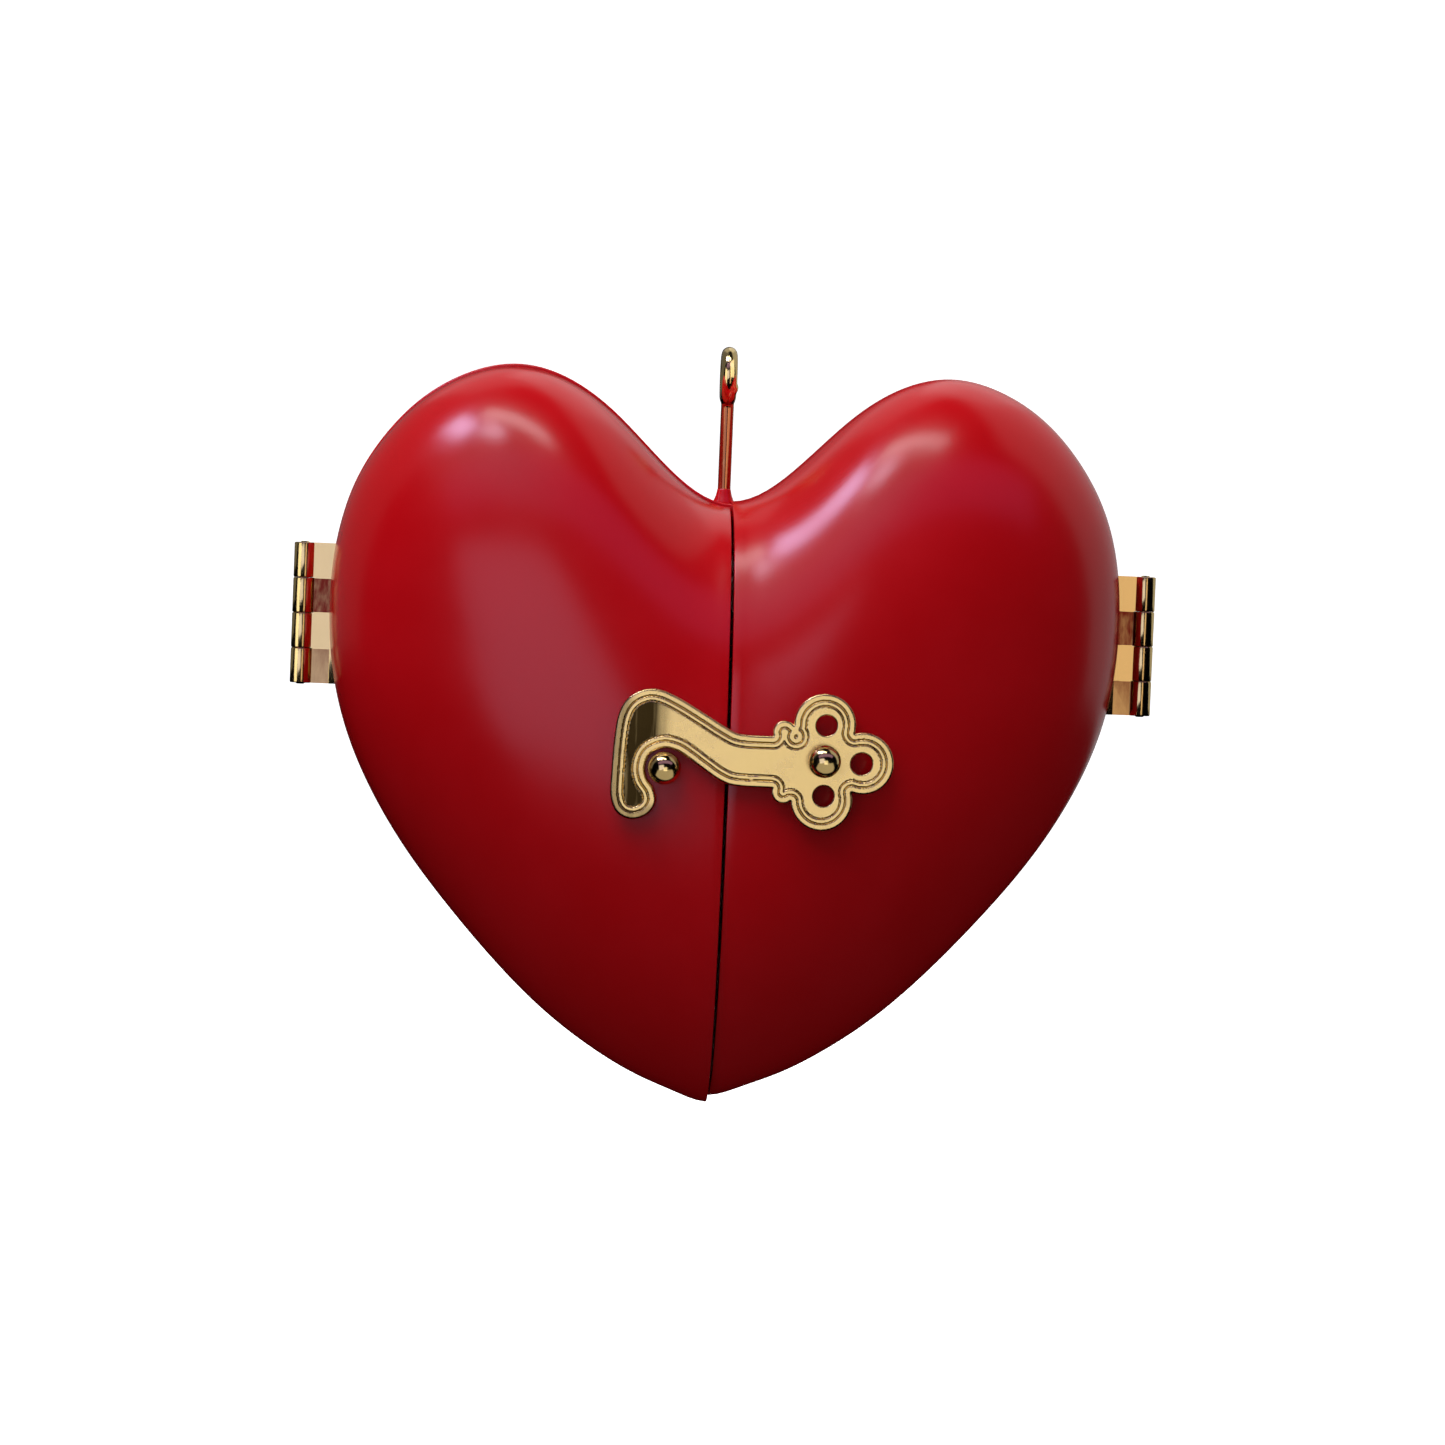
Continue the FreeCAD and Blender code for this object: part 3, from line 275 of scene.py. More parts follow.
class Look:
    """A material and the nodes it is made of."""

    def __init__(self, material):
        material.use_nodes = True
        self.material = material
        self.nodes, self.links = material.node_tree.nodes, material.node_tree.links
        self.inputs = self.nodes["Principled BSDF"].inputs
        self.coords = self.nodes.new("ShaderNodeTexCoord").outputs["Object"]

    def node(self, kind, inputs, **settings):
        """Adds a node; each input is a plain value or the output of another node."""
        made = self.nodes.new("ShaderNode" + kind)
        for key, value in settings.items():
            setattr(made, key, value)
        for key, value in inputs.items():
            if isinstance(value, bpy.types.NodeSocket):
                self.links.new(value, made.inputs[key])
            else:
                made.inputs[key].default_value = value
        return made.outputs

    def noise(self, scale, detail=3.0, roughness=0.5, stretch=None):
        coords = self.coords
        if stretch is not None:
            coords = self.node("Mapping", {"Vector": coords, "Scale": stretch})["Vector"]
        inputs = {"Vector": coords, "Scale": scale, "Detail": detail, "Roughness": roughness}
        return self.node("TexNoise", inputs)["Fac"]

    def ramp(self, source, low, high, low_value=0.0, high_value=1.0):
        inputs = {"Value": source, "From Min": low, "From Max": high, "To Min": low_value, "To Max": high_value}
        return self.node("MapRange", inputs)["Result"]

    def mix(self, factor, first, second):
        """Two colours mixed; the first may be another node's output."""
        first = first if isinstance(first, bpy.types.NodeSocket) else (*first, 1)
        inputs = {"Factor": factor, "A": first, "B": (*second, 1)}
        return self.node("Mix", inputs, data_type="RGBA")["Result"]

    def times(self, first, second, clamp=False):
        return self.node("Math", {0: first, 1: second}, operation="MULTIPLY", use_clamp=clamp)["Value"]

    def bump(self, heights):
        """Chains bumps; heights is a list of (height, strength, distance)."""
        normal = {}
        for height, strength, distance in heights:
            inputs = {"Strength": strength, "Distance": distance, "Height": height, **normal}
            normal = {"Normal": self.node("Bump", inputs)["Normal"]}
        self.links.new(normal["Normal"], self.inputs["Normal"])

    def surface(self, colour, roughness):
        self.links.new(colour, self.inputs["Base Color"])
        self.links.new(roughness, self.inputs["Roughness"])


def new_look(name):
    return Look(bpy.data.materials.new(name))


def lacquer_material():
    """Deep red satin lacquer with a fine grain, faint mottling and a few dust specks."""
    look = new_look("red_lacquer")
    mottle = look.noise(60, 4.0, 0.6)
    colour = look.mix(look.ramp(mottle, 0.2, 0.8), (0.43, 0.0001, 0.0025), (0.48, 0.0002, 0.0040))
    specks = look.node("TexVoronoi", {"Vector": look.coords, "Scale": 95})["Distance"]
    tiny = look.ramp(specks, 0.012, 0.022, 1.0, 0.0)
    some = look.ramp(look.noise(75, 0.0), 0.62, 0.64, 0.0, 0.55)
    dusty = look.mix(look.times(tiny, some), colour, (0.75, 0.35, 0.38))
    look.surface(dusty, look.ramp(mottle, 0.2, 0.8, 0.19, 0.26))
    waves, grain = look.noise(140, 2.0, 0.5), look.noise(2600, 2.0, 0.6)
    look.bump([(waves, 0.10, 0.0002), (grain, 0.16, 0.00003)])
    return look.material


def brass_material(name, colour, roughness, scratch=0.05, stretch=(1, 1, 1), wear=0.08):
    """Brass or another bare metal, with fine scratches and uneven polish."""
    look = new_look(name)
    cloud = look.noise(320, 4.0, 0.6)
    darker = tuple(c * (1 - wear * 1.5) for c in colour)
    shade = look.mix(look.ramp(cloud, 0.3, 0.7), darker, colour)
    look.surface(shade, look.ramp(cloud, 0.25, 0.75, roughness * 0.75, roughness * 1.4))
    look.inputs["Metallic"].default_value = 1.0
    lines = look.noise(1500, 3.0, 0.6, stretch)
    look.bump([(cloud, 0.06, 0.0002), (lines, scratch, 0.00008)])
    return look.material


def paint_shade(material, colour, stretch):
    """Paints shade and reflection into the colour: a darker colour with streaks, as much as the mesh's point
    attribute says.
    """
    look = Look(material)
    streaks = look.ramp(look.noise(1100, 3.0, 0.6, stretch), 0.3, 0.7, 0.85, 1.3)
    amount = look.node("Attribute", {}, attribute_name="patina")["Fac"]
    unshaded_colour = look.inputs["Base Color"].links[0].from_socket
    mixed = look.mix(look.times(amount, streaks, True), unshaded_colour, colour)
    look.links.new(mixed, look.inputs["Base Color"])
    return material


def paint_material(name, colour, roughness, coat=0.0, grain=900, strength=0.12, spread=0.06):
    """Paint, lacquer or resin with a fine uneven skin."""
    look = new_look(name)
    cloud = look.noise(90, 4.0, 0.55)
    lighter = tuple(min(1.0, c * (1 + spread)) for c in colour)
    darker = tuple(c * (1 - spread) for c in colour)
    shade = look.mix(look.ramp(cloud, 0.3, 0.7), darker, lighter)
    look.surface(shade, look.ramp(cloud, 0.3, 0.7, roughness * 0.85, roughness * 1.2))
    look.inputs["Coat Weight"].default_value = coat
    look.bump([(look.noise(grain, 3.0, 0.5), strength, 0.0001)])
    return look.material


def polished(name):
    return brass_material(name, (0.93, 0.70, 0.31), 0.14)


LACQUER = lacquer_material()
POLISHED_BRASS = polished("polished_brass")
# The hanger eye's brass: its lower part gets a painted reflection of the red shell, in coppery red.
EYE_BRASS = paint_shade(polished("eye_brass"), (0.42, 0.14, 0.06), (1, 1, 0.3))
# Brass with painted shade in dark red-brown, for the back leaves' strips beside the shell.
SHADED_BRASS = paint_shade(polished("shaded_brass"), (0.16, 0.02, 0.012), (1, 1, 0.3))
LATCH_BRASS = brass_material("latch_brass", (0.94, 0.69, 0.30), 0.24, 0.14, (1, 1, 0.08), 0.10)
# The latch hook's brass: a near-black painted reflection of the dark room in the hollow of its tip, with
# streaks.
paint_shade(LATCH_BRASS, (0.035, 0.022, 0.007), (1, 1, 0.06))
MOVEMENT_BRASS = brass_material("movement_brass", (0.80, 0.60, 0.28), 0.28, 0.12, (0.2, 1, 1))
STEEL = brass_material("steel_shaft", (0.60, 0.60, 0.61), 0.22, 0.10)
BLUED_STEEL = brass_material("spring_steel", (0.16, 0.20, 0.32), 0.24, 0.10)
COMB_STEEL = brass_material("comb_steel", (0.66, 0.67, 0.68), 0.25, 0.12, (1, 0.1, 1))
NICKEL = brass_material("nickel_plate", (0.72, 0.70, 0.66), 0.18, 0.08)
ZINC = brass_material("zinc_cast", (0.42, 0.43, 0.44), 0.48, 0.25)
ALUMINIUM = brass_material("fly_aluminium", (0.78, 0.79, 0.80), 0.26, 0.10)
IVORY = paint_material("ivory_paint", (0.80, 0.73, 0.58), 0.42)
DISC = paint_material("disc_lacquer", (0.86, 0.81, 0.71), 0.2, 0.6)
ROSE = paint_material("rose_resin", (0.46, 0.010, 0.030), 0.38, 0.2, 700, 0.2, 0.18)
LEAF = paint_material("rose_leaf", (0.03, 0.14, 0.03), 0.42, 0.1, 700, 0.2, 0.2)

# The record's slot and the material of a piece.
RED = ("red_lacquer", LACQUER)
BRASS = ("polished_brass", POLISHED_BRASS)
PLATED = ("nickel_plate", NICKEL)

# ------------------------------------------------------------------ the heart's own shape

# Height of the top and bottom edge of the heart, in millimetres, at some distances from the middle.
HEART_EDGE = np.array([
    (0.0, 16.2, -60.3), (4.0, 17.4, -59.2), (9.0, 21.4, -57.2), (15.0, 27.2, -53.9), (21.0, 31.3, -49.6),
    (27.5, 33.0, -43.6), (34.0, 31.7, -36.5), (40.0, 28.1, -29.0), (45.0, 22.6, -21.0), (49.0, 14.7, -11.2),
])
HALF_WIDTH = 50.7
SIDE_HEIGHT = 2.0
FRONT_DEPTH = 24.0
BACK_DEPTH = 26.0
WALL = 1.6
SECTION_ROUNDNESS = 2.3
PLAN_ROUNDNESS = 2.4
HALF_PARTING = 0.15
HALF_SEAM = 0.1
EDGE_RADIUS = 0.28
SEAM_RADIUS = 0.09
THINNEST = 0.02           # half the height left at the very sides
MEAN_HALF_HEIGHT = 38.0   # the inner face shrinks in height by this share of the inset


def spline(xs, ys):
    """A smooth curve through points, given back as a function."""
    count = len(xs)
    step = np.diff(xs)
    matrix, right = np.zeros((count, count)), np.zeros(count)
    matrix[0, 0] = matrix[-1, -1] = 1
    right[0] = np.polyval(np.polyder(np.polyfit(xs[:4], ys[:4], 3)), xs[0])
    right[-1] = np.polyval(np.polyder(np.polyfit(xs[-4:], ys[-4:], 3)), xs[-1])
    for i in range(1, count - 1):
        matrix[i, i - 1:i + 2] = step[i], 2 * (step[i - 1] + step[i]), step[i - 1]
        rise, next_rise = (ys[i] - ys[i - 1]) / step[i - 1], (ys[i + 1] - ys[i]) / step[i]
        right[i] = 3 * (rise * step[i] + next_rise * step[i - 1])
    slopes = np.linalg.solve(matrix, right)

    def value(x):
        i = min(max(int(np.searchsorted(xs, x)) - 1, 0), count - 2)
        h = step[i]
        t = (x - xs[i]) / h
        return (ys[i] * (2 * t ** 3 - 3 * t ** 2 + 1) + h * slopes[i] * (t ** 3 - 2 * t ** 2 + t)
                + ys[i + 1] * (3 * t ** 2 - 2 * t ** 3) + h * slopes[i + 1] * (t ** 3 - t ** 2))

    return value


EDGE_ANGLES = np.append(np.arcsin(HEART_EDGE[:, 0] / HALF_WIDTH), math.pi / 2)


def edge_function(column):
    heights = np.append(HEART_EDGE[:, column], SIDE_HEIGHT)
    angles = np.concatenate([-EDGE_ANGLES[:0:-1], EDGE_ANGLES])
    return spline(angles, np.concatenate([heights[:0:-1], heights]))


TOP_EDGE = edge_function(1)
BOTTOM_EDGE = edge_function(2)


def section(angle, inset, toward):
    """Middle height, half height and depth of the heart where the sine of the angle is the share across."""
    top, bottom = TOP_EDGE(angle), BOTTOM_EDGE(angle)
    fullness = max(0.0, 1 - abs(math.sin(angle)) ** PLAN_ROUNDNESS) ** (1 / PLAN_ROUNDNESS)
    depth = ((FRONT_DEPTH if toward < 0 else BACK_DEPTH) - inset) * fullness
    half_height = max(THINNEST, (top - bottom) / 2)
    return (top + bottom) / 2, half_height * (1 - inset / MEAN_HALF_HEIGHT), depth


def surface_point(angle, turn, inset, toward):
    """A point of the heart in millimetres: turn runs from the bottom rim (-90 degrees) to the top rim (90),
    toward is -1 for the front and 1 for the back."""
    middle, half_height, depth = section(angle, inset, toward)
    c, s = abs(math.cos(turn)), math.sin(turn)
    reach = (c ** SECTION_ROUNDNESS + abs(s) ** SECTION_ROUNDNESS) ** (-1 / SECTION_ROUNDNESS)
    return np.array(((HALF_WIDTH - inset) * math.sin(angle), toward * reach * c * depth,
                     middle + reach * s * half_height))


def skin_depth(x, z, inset, toward):
    """How far from the parting plane the surface is at a point (x, z)."""
    middle, half_height, depth = section(math.asin(x / (HALF_WIDTH - inset)), inset, toward)
    share = min(1.0, abs(z - middle) / half_height)
    return depth * (1 - share ** SECTION_ROUNDNESS) ** (1 / SECTION_ROUNDNESS)


def edge_steps(radius):
    """A rounded edge as (inset, offset) pairs."""
    angles = [math.radians(a) for a in (90, 60, 30, 0)]
    return [(radius * (1 - math.cos(a)), radius * (1 - math.sin(a))) for a in angles]


ROWS = 72
TURNS = np.linspace(-math.pi / 2, math.pi / 2, 84)[1:-1]


def shell_data(half, toward):
    """A closed wall with rounded rims: half the heart from the seam outwards, or the whole width."""
    if half:
        rows = [(None, HALF_SEAM + offset, inset) for inset, offset in edge_steps(SEAM_RADIUS)]
        start = math.asin((HALF_SEAM + SEAM_RADIUS) / HALF_WIDTH)
        rows += [(angle, None, 0.0) for angle in np.linspace(start, math.pi / 2, ROWS)[1:]]
    else:
        angles = np.linspace(0, math.pi / 2, ROWS)
        rows = [(angle, None, 0.0) for angle in np.concatenate([-angles[:0:-1], angles])]
    rim = [(inset, HALF_PARTING + offset) for inset, offset in edge_steps(EDGE_RADIUS)]
    columns = [(-math.pi / 2, inset, height) for inset, height in rim]
    columns += [(turn, 0.0, None) for turn in TURNS]
    columns += [(math.pi / 2, inset, height) for inset, height in reversed(rim)]
    points = []
    for base, rounded in ((0.0, True), (WALL, False)):
        for angle, x, row_inset in rows:
            for turn, column_inset, height in columns:
                inset = base + (row_inset + column_inset if rounded else 0.0)
                across = angle if x is None else math.asin(x / (HALF_WIDTH - inset))
                point = surface_point(across, turn, inset, toward)
                depth = max(abs(point[1]), HALF_PARTING + EDGE_RADIUS) if height is None else height
                point[1] = toward * depth
                points.append(point)
    many, wide = len(rows), len(columns)
    inner, last = many * wide, (many - 1) * wide
    outer_faces = [(a, a + wide, a + wide + 1, a + 1) for i in range(many - 1)
                   for a in range(i * wide, i * wide + wide - 1)]
    faces = outer_faces + [tuple(inner + v for v in face[:1] + face[:0:-1]) for face in outer_faces]
    borders = [(a + j, a + j + wide) for a in range(0, last, wide) for j in (0, wide - 1)]
    borders += [(a + j, a + j + 1) for a in (0, last) for j in range(wide - 1)]
    return np.array(points), faces + [(a, b, inner + b, inner + a) for a, b in borders]


def turn_about(points, centre, axis, degrees):
    matrix = np.array(Matrix.Rotation(math.radians(degrees), 3, Vector(axis)))
    return (points - centre) @ matrix.T + centre


def rod_data(radius, start, end):
    """A plain closed cylinder between two points of the heart, in millimetres."""
    start, end = spot(*start), spot(*end)
    length = float(np.linalg.norm(end - start))
    profile = [(0, 0), (radius * MM, 0), (radius * MM, length), (0, length)]
    return lathe_data(profile, start, end - start, 48, 1)


# ------------------------------------------------------------------ doors and back shell

HINGE_OFFSET = abs(RIGHT_AXIS[0] - HEART[0]) / MM
LEAF_INNER = 43.8
LEAF_FACE = 0.05
LEAF_BACK = 0.55
LEAF_NOTCH = 50.6
PAD_INNER = 43.5
PAD_DEPTH = 2.7
HALF_HINGE = 9.0
RIVET_SPOTS = [(46.3, 5.5), (46.3, -5.5)]
DOOR_TWIST = 0.3
DOORS = {
    1: {"word": "right", "ajar": 0.2, "rise": 0.3},
    -1: {"word": "left", "ajar": 0.4, "rise": -0.5},
}
LATCH_X, _, LATCH_Z = (LATCH - HEART) / MM
CATCH_X, _, CATCH_Z = (np.mean([list(end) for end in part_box("latch_catch_pin")], axis=0) - HEART) / MM
PIN_RADIUS = 0.9
MOVEMENT_Z = (JOINTS["barrel_spin"][2] - HEART[2]) / MM
SCREW_SEAT = 19.6
KEY_SEAT = 25.6
KEY_BOSS_RADIUS = 5.7
KEY_BORE = 3.1
BEDPLATE_BACK = 15.9
PANEL_BACK = 1.7
HEAD_HOLE = 1.9
PANEL_SCREW = 0.8
MOVEMENT_SCREW_SPOTS = [(-13.5, -2.0), (13.5, -2.0), (9.0, -39.0)]
PANEL_SCREW_SPOTS = [(-30.0, 18.0), (30.0, 18.0), (-23.0, -33.0), (23.0, -33.0)]


def sorted_box(x, y, z, bevel=0.0):
    low = [min(pair) for pair in (x, y, z)]
    high = [max(pair) for pair in (x, y, z)]
    return box_data(spot(*low), spot(*high), bevel * MM)


def leaf_room_data(side, toward):
    return sorted_box((side * LEAF_INNER, side * 60), (-toward, toward * LEAF_BACK), (-HALF_HINGE, HALF_HINGE))


def skin_reach(z, depth, toward):
    """How far out the middle of the wall is at a height and a depth."""
    low, high = 30.0, HALF_WIDTH - 1
    for _ in range(30):
        x = (low + high) / 2
        if skin_depth(x, z, WALL / 2, toward) > depth:
            low = x
        else:
            high = x
    return low


def hinge_pad_data(side, toward):
    """The block inside a shell that the hinge leaf is riveted to, ending inside the wall."""
    half = HALF_HINGE + 0.4
    reach = min(skin_reach(z, PAD_DEPTH, toward) for z in (-half, half))
    across, deep = (side * PAD_INNER, side * reach), (toward * HALF_PARTING, toward * PAD_DEPTH)
    return sorted_box(across, deep, (-half, half))


def boss_data(x, z, radius, start, toward):
    """A round boss from a flat face to the middle of the wall."""
    segments, rings = 40, 5

    def circle(reach, depth=None):
        around = [(x + reach * math.cos(turn), z + reach * math.sin(turn)) for turn in turns(segments)]
        return [spot(px, toward * (depth or skin_depth(px, pz, WALL / 2, toward)), pz) for px, pz in around]

    verts = [spot(x, toward * start, z)] + circle(radius, start)
    for ring in range(rings, 0, -1):
        verts += circle(radius * ring / rings)
    verts.append(spot(x, toward * skin_depth(x, z, WALL / 2, toward), z))
    last = 1 + rings * segments
    faces = []
    for k in range(segments):
        following = (k + 1) % segments
        faces += [(0, 1 + k, 1 + following), (last + following, last + k, len(verts) - 1)]
        for a in range(1, last, segments):
            faces.append((a + k, a + segments + k, a + segments + following, a + following))
    return verts, faces


def make_door(side):
    door = DOORS[side]
    node = door["word"] + "_door"
    points, faces = shell_data(True, -1)
    points[:, 0] *= side
    points = turn_about(points, np.array((side * HINGE_OFFSET, 0, 0)), (0, 0, 1), side * door["ajar"])
    points = turn_about(points, np.zeros(3), (1, 0, 0), side * DOOR_TWIST)
    points[:, 2] += door["rise"]
    shell = mesh_object(node + "_shell", points * MM + HEART, faces, node + "_body", *RED)
    combine(clean(shell), [hinge_pad_data(side, -1)], "UNION")
    x, z = (LATCH_X, LATCH_Z) if side > 0 else (CATCH_X, CATCH_Z)
    combine(shell, [leaf_room_data(side, -1), rod_data(PIN_RADIUS, (x, -19, z), (x, -30, z))], "DIFFERENCE")
    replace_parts(sharpen(shell, 35), node)


def make_back():
    points, faces = shell_data(False, 1)
    shell = mesh_object("back_shell_skin", points * MM + HEART, faces, "case", *RED)
    key_boss = [(0, 22.4), (KEY_BOSS_RADIUS, 22.4), (KEY_BOSS_RADIUS, KEY_SEAT), (0, KEY_SEAT)]
    added = [hinge_pad_data(-1, 1), hinge_pad_data(1, 1)]
    added.append(lathe_data(round_profile(key_boss, 0.35), spot(0, 0, MOVEMENT_Z), (0, 1, 0), 72))
    added += [boss_data(x, z, 3.2, BEDPLATE_BACK, 1) for x, z in MOVEMENT_SCREW_SPOTS]
    added += [boss_data(x, z, 2.3, PANEL_BACK, 1) for x, z in PANEL_SCREW_SPOTS]
    combine(clean(shell), added, "UNION", "MANIFOLD")
    cut = [leaf_room_data(-1, 1), leaf_room_data(1, 1)]
    cut.append(rod_data(KEY_BORE, (0, 20, MOVEMENT_Z), (0, 40, MOVEMENT_Z)))
    cut += [rod_data(HEAD_HOLE, (x, SCREW_SEAT, z), (x, 40, z)) for x, z in MOVEMENT_SCREW_SPOTS]
    cut += [rod_data(PANEL_SCREW, (x, 0, z), (x, 8, z)) for x, z in PANEL_SCREW_SPOTS]
    combine(shell, cut, "DIFFERENCE", "MANIFOLD")
    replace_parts(sharpen(shell, 35), "back_shell")


make_door(1)
make_door(-1)
make_back()

# ------------------------------------------------------------------ hinges

def store_painted_shade(obj, values):
    """Stores how much painted shade and painted reflection each point of a piece gets, for its material."""
    obj.data.attributes.new("patina", "FLOAT", "POINT").data.foreach_set("value", np.asarray(values, float))


def fade(value, start, end):
    """0 before start, 1 after end, smooth between; end may be below start."""
    share = np.clip((value - start) / (end - start), 0, 1)
    return share * share * (3 - 2 * share)


def places(obj, origin):
    """The x and z of a mesh's points from an origin, in millimetres."""
    points = np.array([vert.co for vert in obj.data.vertices])
    return (points[:, 0] - origin[0]) / MM, (points[:, 2] - origin[2]) / MM


KNUCKLES = 4
KNUCKLE_RADIUS = 1.35
KNUCKLE_GAP = 0.01
KNUCKLE_LENGTH = (2 * HALF_HINGE - KNUCKLE_GAP * (KNUCKLES - 1)) / KNUCKLES
KNUCKLE_EDGE = 0.16


def knuckle_profile(bore, bottom, top):
    soft, bend = KNUCKLE_RADIUS - KNUCKLE_EDGE, KNUCKLE_EDGE * 0.3
    return [(bore, bottom), (soft, bottom), (KNUCKLE_RADIUS - bend, bottom + bend),
            (KNUCKLE_RADIUS, bottom + KNUCKLE_EDGE), (KNUCKLE_RADIUS, top - KNUCKLE_EDGE),
            (KNUCKLE_RADIUS - bend, top - bend), (soft, top), (bore, top)]


def make_leaf(side, front):
    word, toward = DOORS[side]["word"], -1 if front else 1
    node = word + ("_hinge_door_leaf" if front else "_hinge_back_leaf")
    y = (toward * LEAF_FACE, toward * LEAF_BACK)
    data = sorted_box((side * LEAF_INNER, side * LEAF_NOTCH), y, (-HALF_HINGE, HALF_HINGE), 0.07)
    body, material = (word + "_door_body", POLISHED_BRASS) if front else ("case", SHADED_BRASS)
    leaf = mesh_object(node + "_plate", *data, body, "polished_brass", material)
    added = []
    for index in range(0 if front else 1, KNUCKLES, 2):
        top = HALF_HINGE - (KNUCKLE_LENGTH + KNUCKLE_GAP) * index
        bottom = top - KNUCKLE_LENGTH
        profile = knuckle_profile(0.65 if front else 0.6, bottom, top)
        added.append(ring_data(profile, spot(side * HINGE_OFFSET, 0, 0), (0, 0, 1), 48))
        inner, outer = side * (LEAF_NOTCH - 0.4), side * (HINGE_OFFSET - 0.8)
        added.append(sorted_box((inner, outer), y, (bottom, top)))
        beside_knuckle = side * (HINGE_OFFSET - KNUCKLE_RADIUS - 0.08)
        ends = (max(bottom - 0.1, -HALF_HINGE), min(top + 0.1, HALF_HINGE))
        added.append(sorted_box((inner, beside_knuckle), y, ends))
    combine(leaf, added, "UNION")
    sharpen(leaf, 35)
    if not front:
        # The strip between the shell and the knuckles gets painted shade and a painted reflection of the red
        # shell, its lower part less.
        across, height = places(leaf, HEART)
        bare = HINGE_OFFSET - KNUCKLE_RADIUS
        strip = fade(np.abs(across), bare + 0.15, bare - 0.05)
        store_painted_shade(leaf, strip * (0.45 + 0.4 * fade(height, -4.8, -4.2)))
    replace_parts(leaf, node)


def dome_profile(radius, rise, steps=8):
    """The rounded top of a head, from its edge to its middle, as (radius, height)."""
    angles = [math.pi / 2 * k / steps for k in range(steps + 1)]
    return [(radius * math.cos(a), rise * math.sin(a)) for a in angles]


def make_rivets(node, body, sides, toward):
    profile = [(0, LEAF_FACE), (0.5, LEAF_FACE), (0.5, PAD_DEPTH), (0.95, PAD_DEPTH)]
    profile += [(r, PAD_DEPTH + h) for r, h in dome_profile(0.95, 0.45)]
    spots = [spot(side * x, 0, z) for side in sides for x, z in RIVET_SPOTS]
    parts = [lathe_data(profile, place, (0, toward, 0), 32) for place in spots]
    name = node.replace("_hinge", "").replace("rivets", "rivet_heads")
    rivets = mesh_object(name, *merge(parts), body, *BRASS)
    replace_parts(sharpen(outward(rivets), 50), node)


def make_hinge(side):
    word = DOORS[side]["word"]
    make_leaf(side, True)
    make_leaf(side, False)
    end = HALF_HINGE + 0.15
    profile = [(0, -end), (0.45, -end), (0.6, -HALF_HINGE), (0.6, HALF_HINGE), (0.45, end), (0, end)]
    data = lathe_data(profile, spot(side * HINGE_OFFSET, 0, 0), (0, 0, 1), 32)
    pin = mesh_object(word + "_hinge_pin_rod", *data, "case", *BRASS)
    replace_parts(sharpen(outward(pin)), word + "_hinge_pin")
    make_rivets(word + "_door_rivets", word + "_door_body", [side], -1)


make_hinge(-1)
make_hinge(1)
make_rivets("back_hinge_rivets", "case", [-1, 1], 1)

# ------------------------------------------------------------------ flat stamped pieces

class Outline:
    """A flat shape made of rounds and closed curves, less some round holes, all in millimetres."""

    def __init__(self, curves, rounds, holes):
        self.curves = [np.array(curve, float) for curve in curves]
        self.rounds, self.holes = rounds, holes
        edge = self.edge_points()
        self.tree = kdtree.KDTree(len(edge))
        for index, (x, z) in enumerate(edge):
            self.tree.insert((x, z, 0), index)
        self.tree.balance()

    def union_depth(self, points):
        """How deep a point is inside the outer outline, right near the edge and in sign."""
        depths = [radius - np.hypot(points[:, 0] - x, points[:, 1] - z) for x, z, radius in self.rounds]
        return np.max(depths + [curve_depth(curve, points) for curve in self.curves], axis=0)

    def edge_points(self, step=0.03):
        found = []
        for x, z, radius in self.rounds:
            angles = np.arange(0, 2 * math.pi, step / radius)
            found.append(np.column_stack([x + radius * np.cos(angles), z + radius * np.sin(angles)]))
        for curve in self.curves:
            for start, end in zip(curve, np.roll(curve, -1, axis=0)):
                count = max(2, int(np.linalg.norm(end - start) / step))
                shares = np.linspace(0, 1, count, endpoint=False)[:, None]
                found.append(start + (end - start) * shares)
        found = np.vstack(found)
        return found[self.union_depth(found) < 1e-4]

    def hole_distance(self, points):
        gaps = [np.hypot(points[:, 0] - x, points[:, 1] - z) - radius for x, z, radius in self.holes]
        return np.min(gaps, axis=0)

    def solid(self, points):
        return np.minimum(self.union_depth(points), self.hole_distance(points))

    def edge_distance(self, points):
        """True distance from the outer edge."""
        return np.array([self.tree.find((x, z, 0))[2] for x, z in points])

    def nearest(self, points):
        return np.array([self.tree.find((x, z, 0))[0][:2] for x, z in points])


def curve_depth(curve, points):
    """Distance inside (positive) or outside (negative) a closed run of points."""
    best = np.full(len(points), 1e9)
    inside = np.zeros(len(points), bool)
    for start, end in zip(curve, np.roll(curve, -1, axis=0)):
        run = end - start
        share = np.clip(((points - start) @ run) / max(run @ run, 1e-12), 0, 1)
        gap = points - start - share[:, None] * run
        best = np.minimum(best, np.hypot(gap[:, 0], gap[:, 1]))
        crosses = (start[1] > points[:, 1]) != (end[1] > points[:, 1])
        with np.errstate(divide="ignore", invalid="ignore"):
            x = run[0] * (points[:, 1] - start[1]) / run[1] + start[0]
        inside ^= crosses & (points[:, 0] < x)
    return np.where(inside, best, -best)


def smooth_run(points, steps=8):
    """A smooth run through points that starts at the first and ends at the last (Catmull-Rom)."""
    padded = np.array([points[0]] + points + [points[-1]], float)
    run = []
    for a, b, c, d in zip(padded, padded[1:], padded[2:], padded[3:]):
        for t in (k / steps for k in range(steps)):
            run.append(0.5 * (2 * b + (c - a) * t + (2 * a - 5 * b + 4 * c - d) * t ** 2
                              + (3 * b - a - 3 * c + d) * t ** 3))
    return run + [padded[-1]]


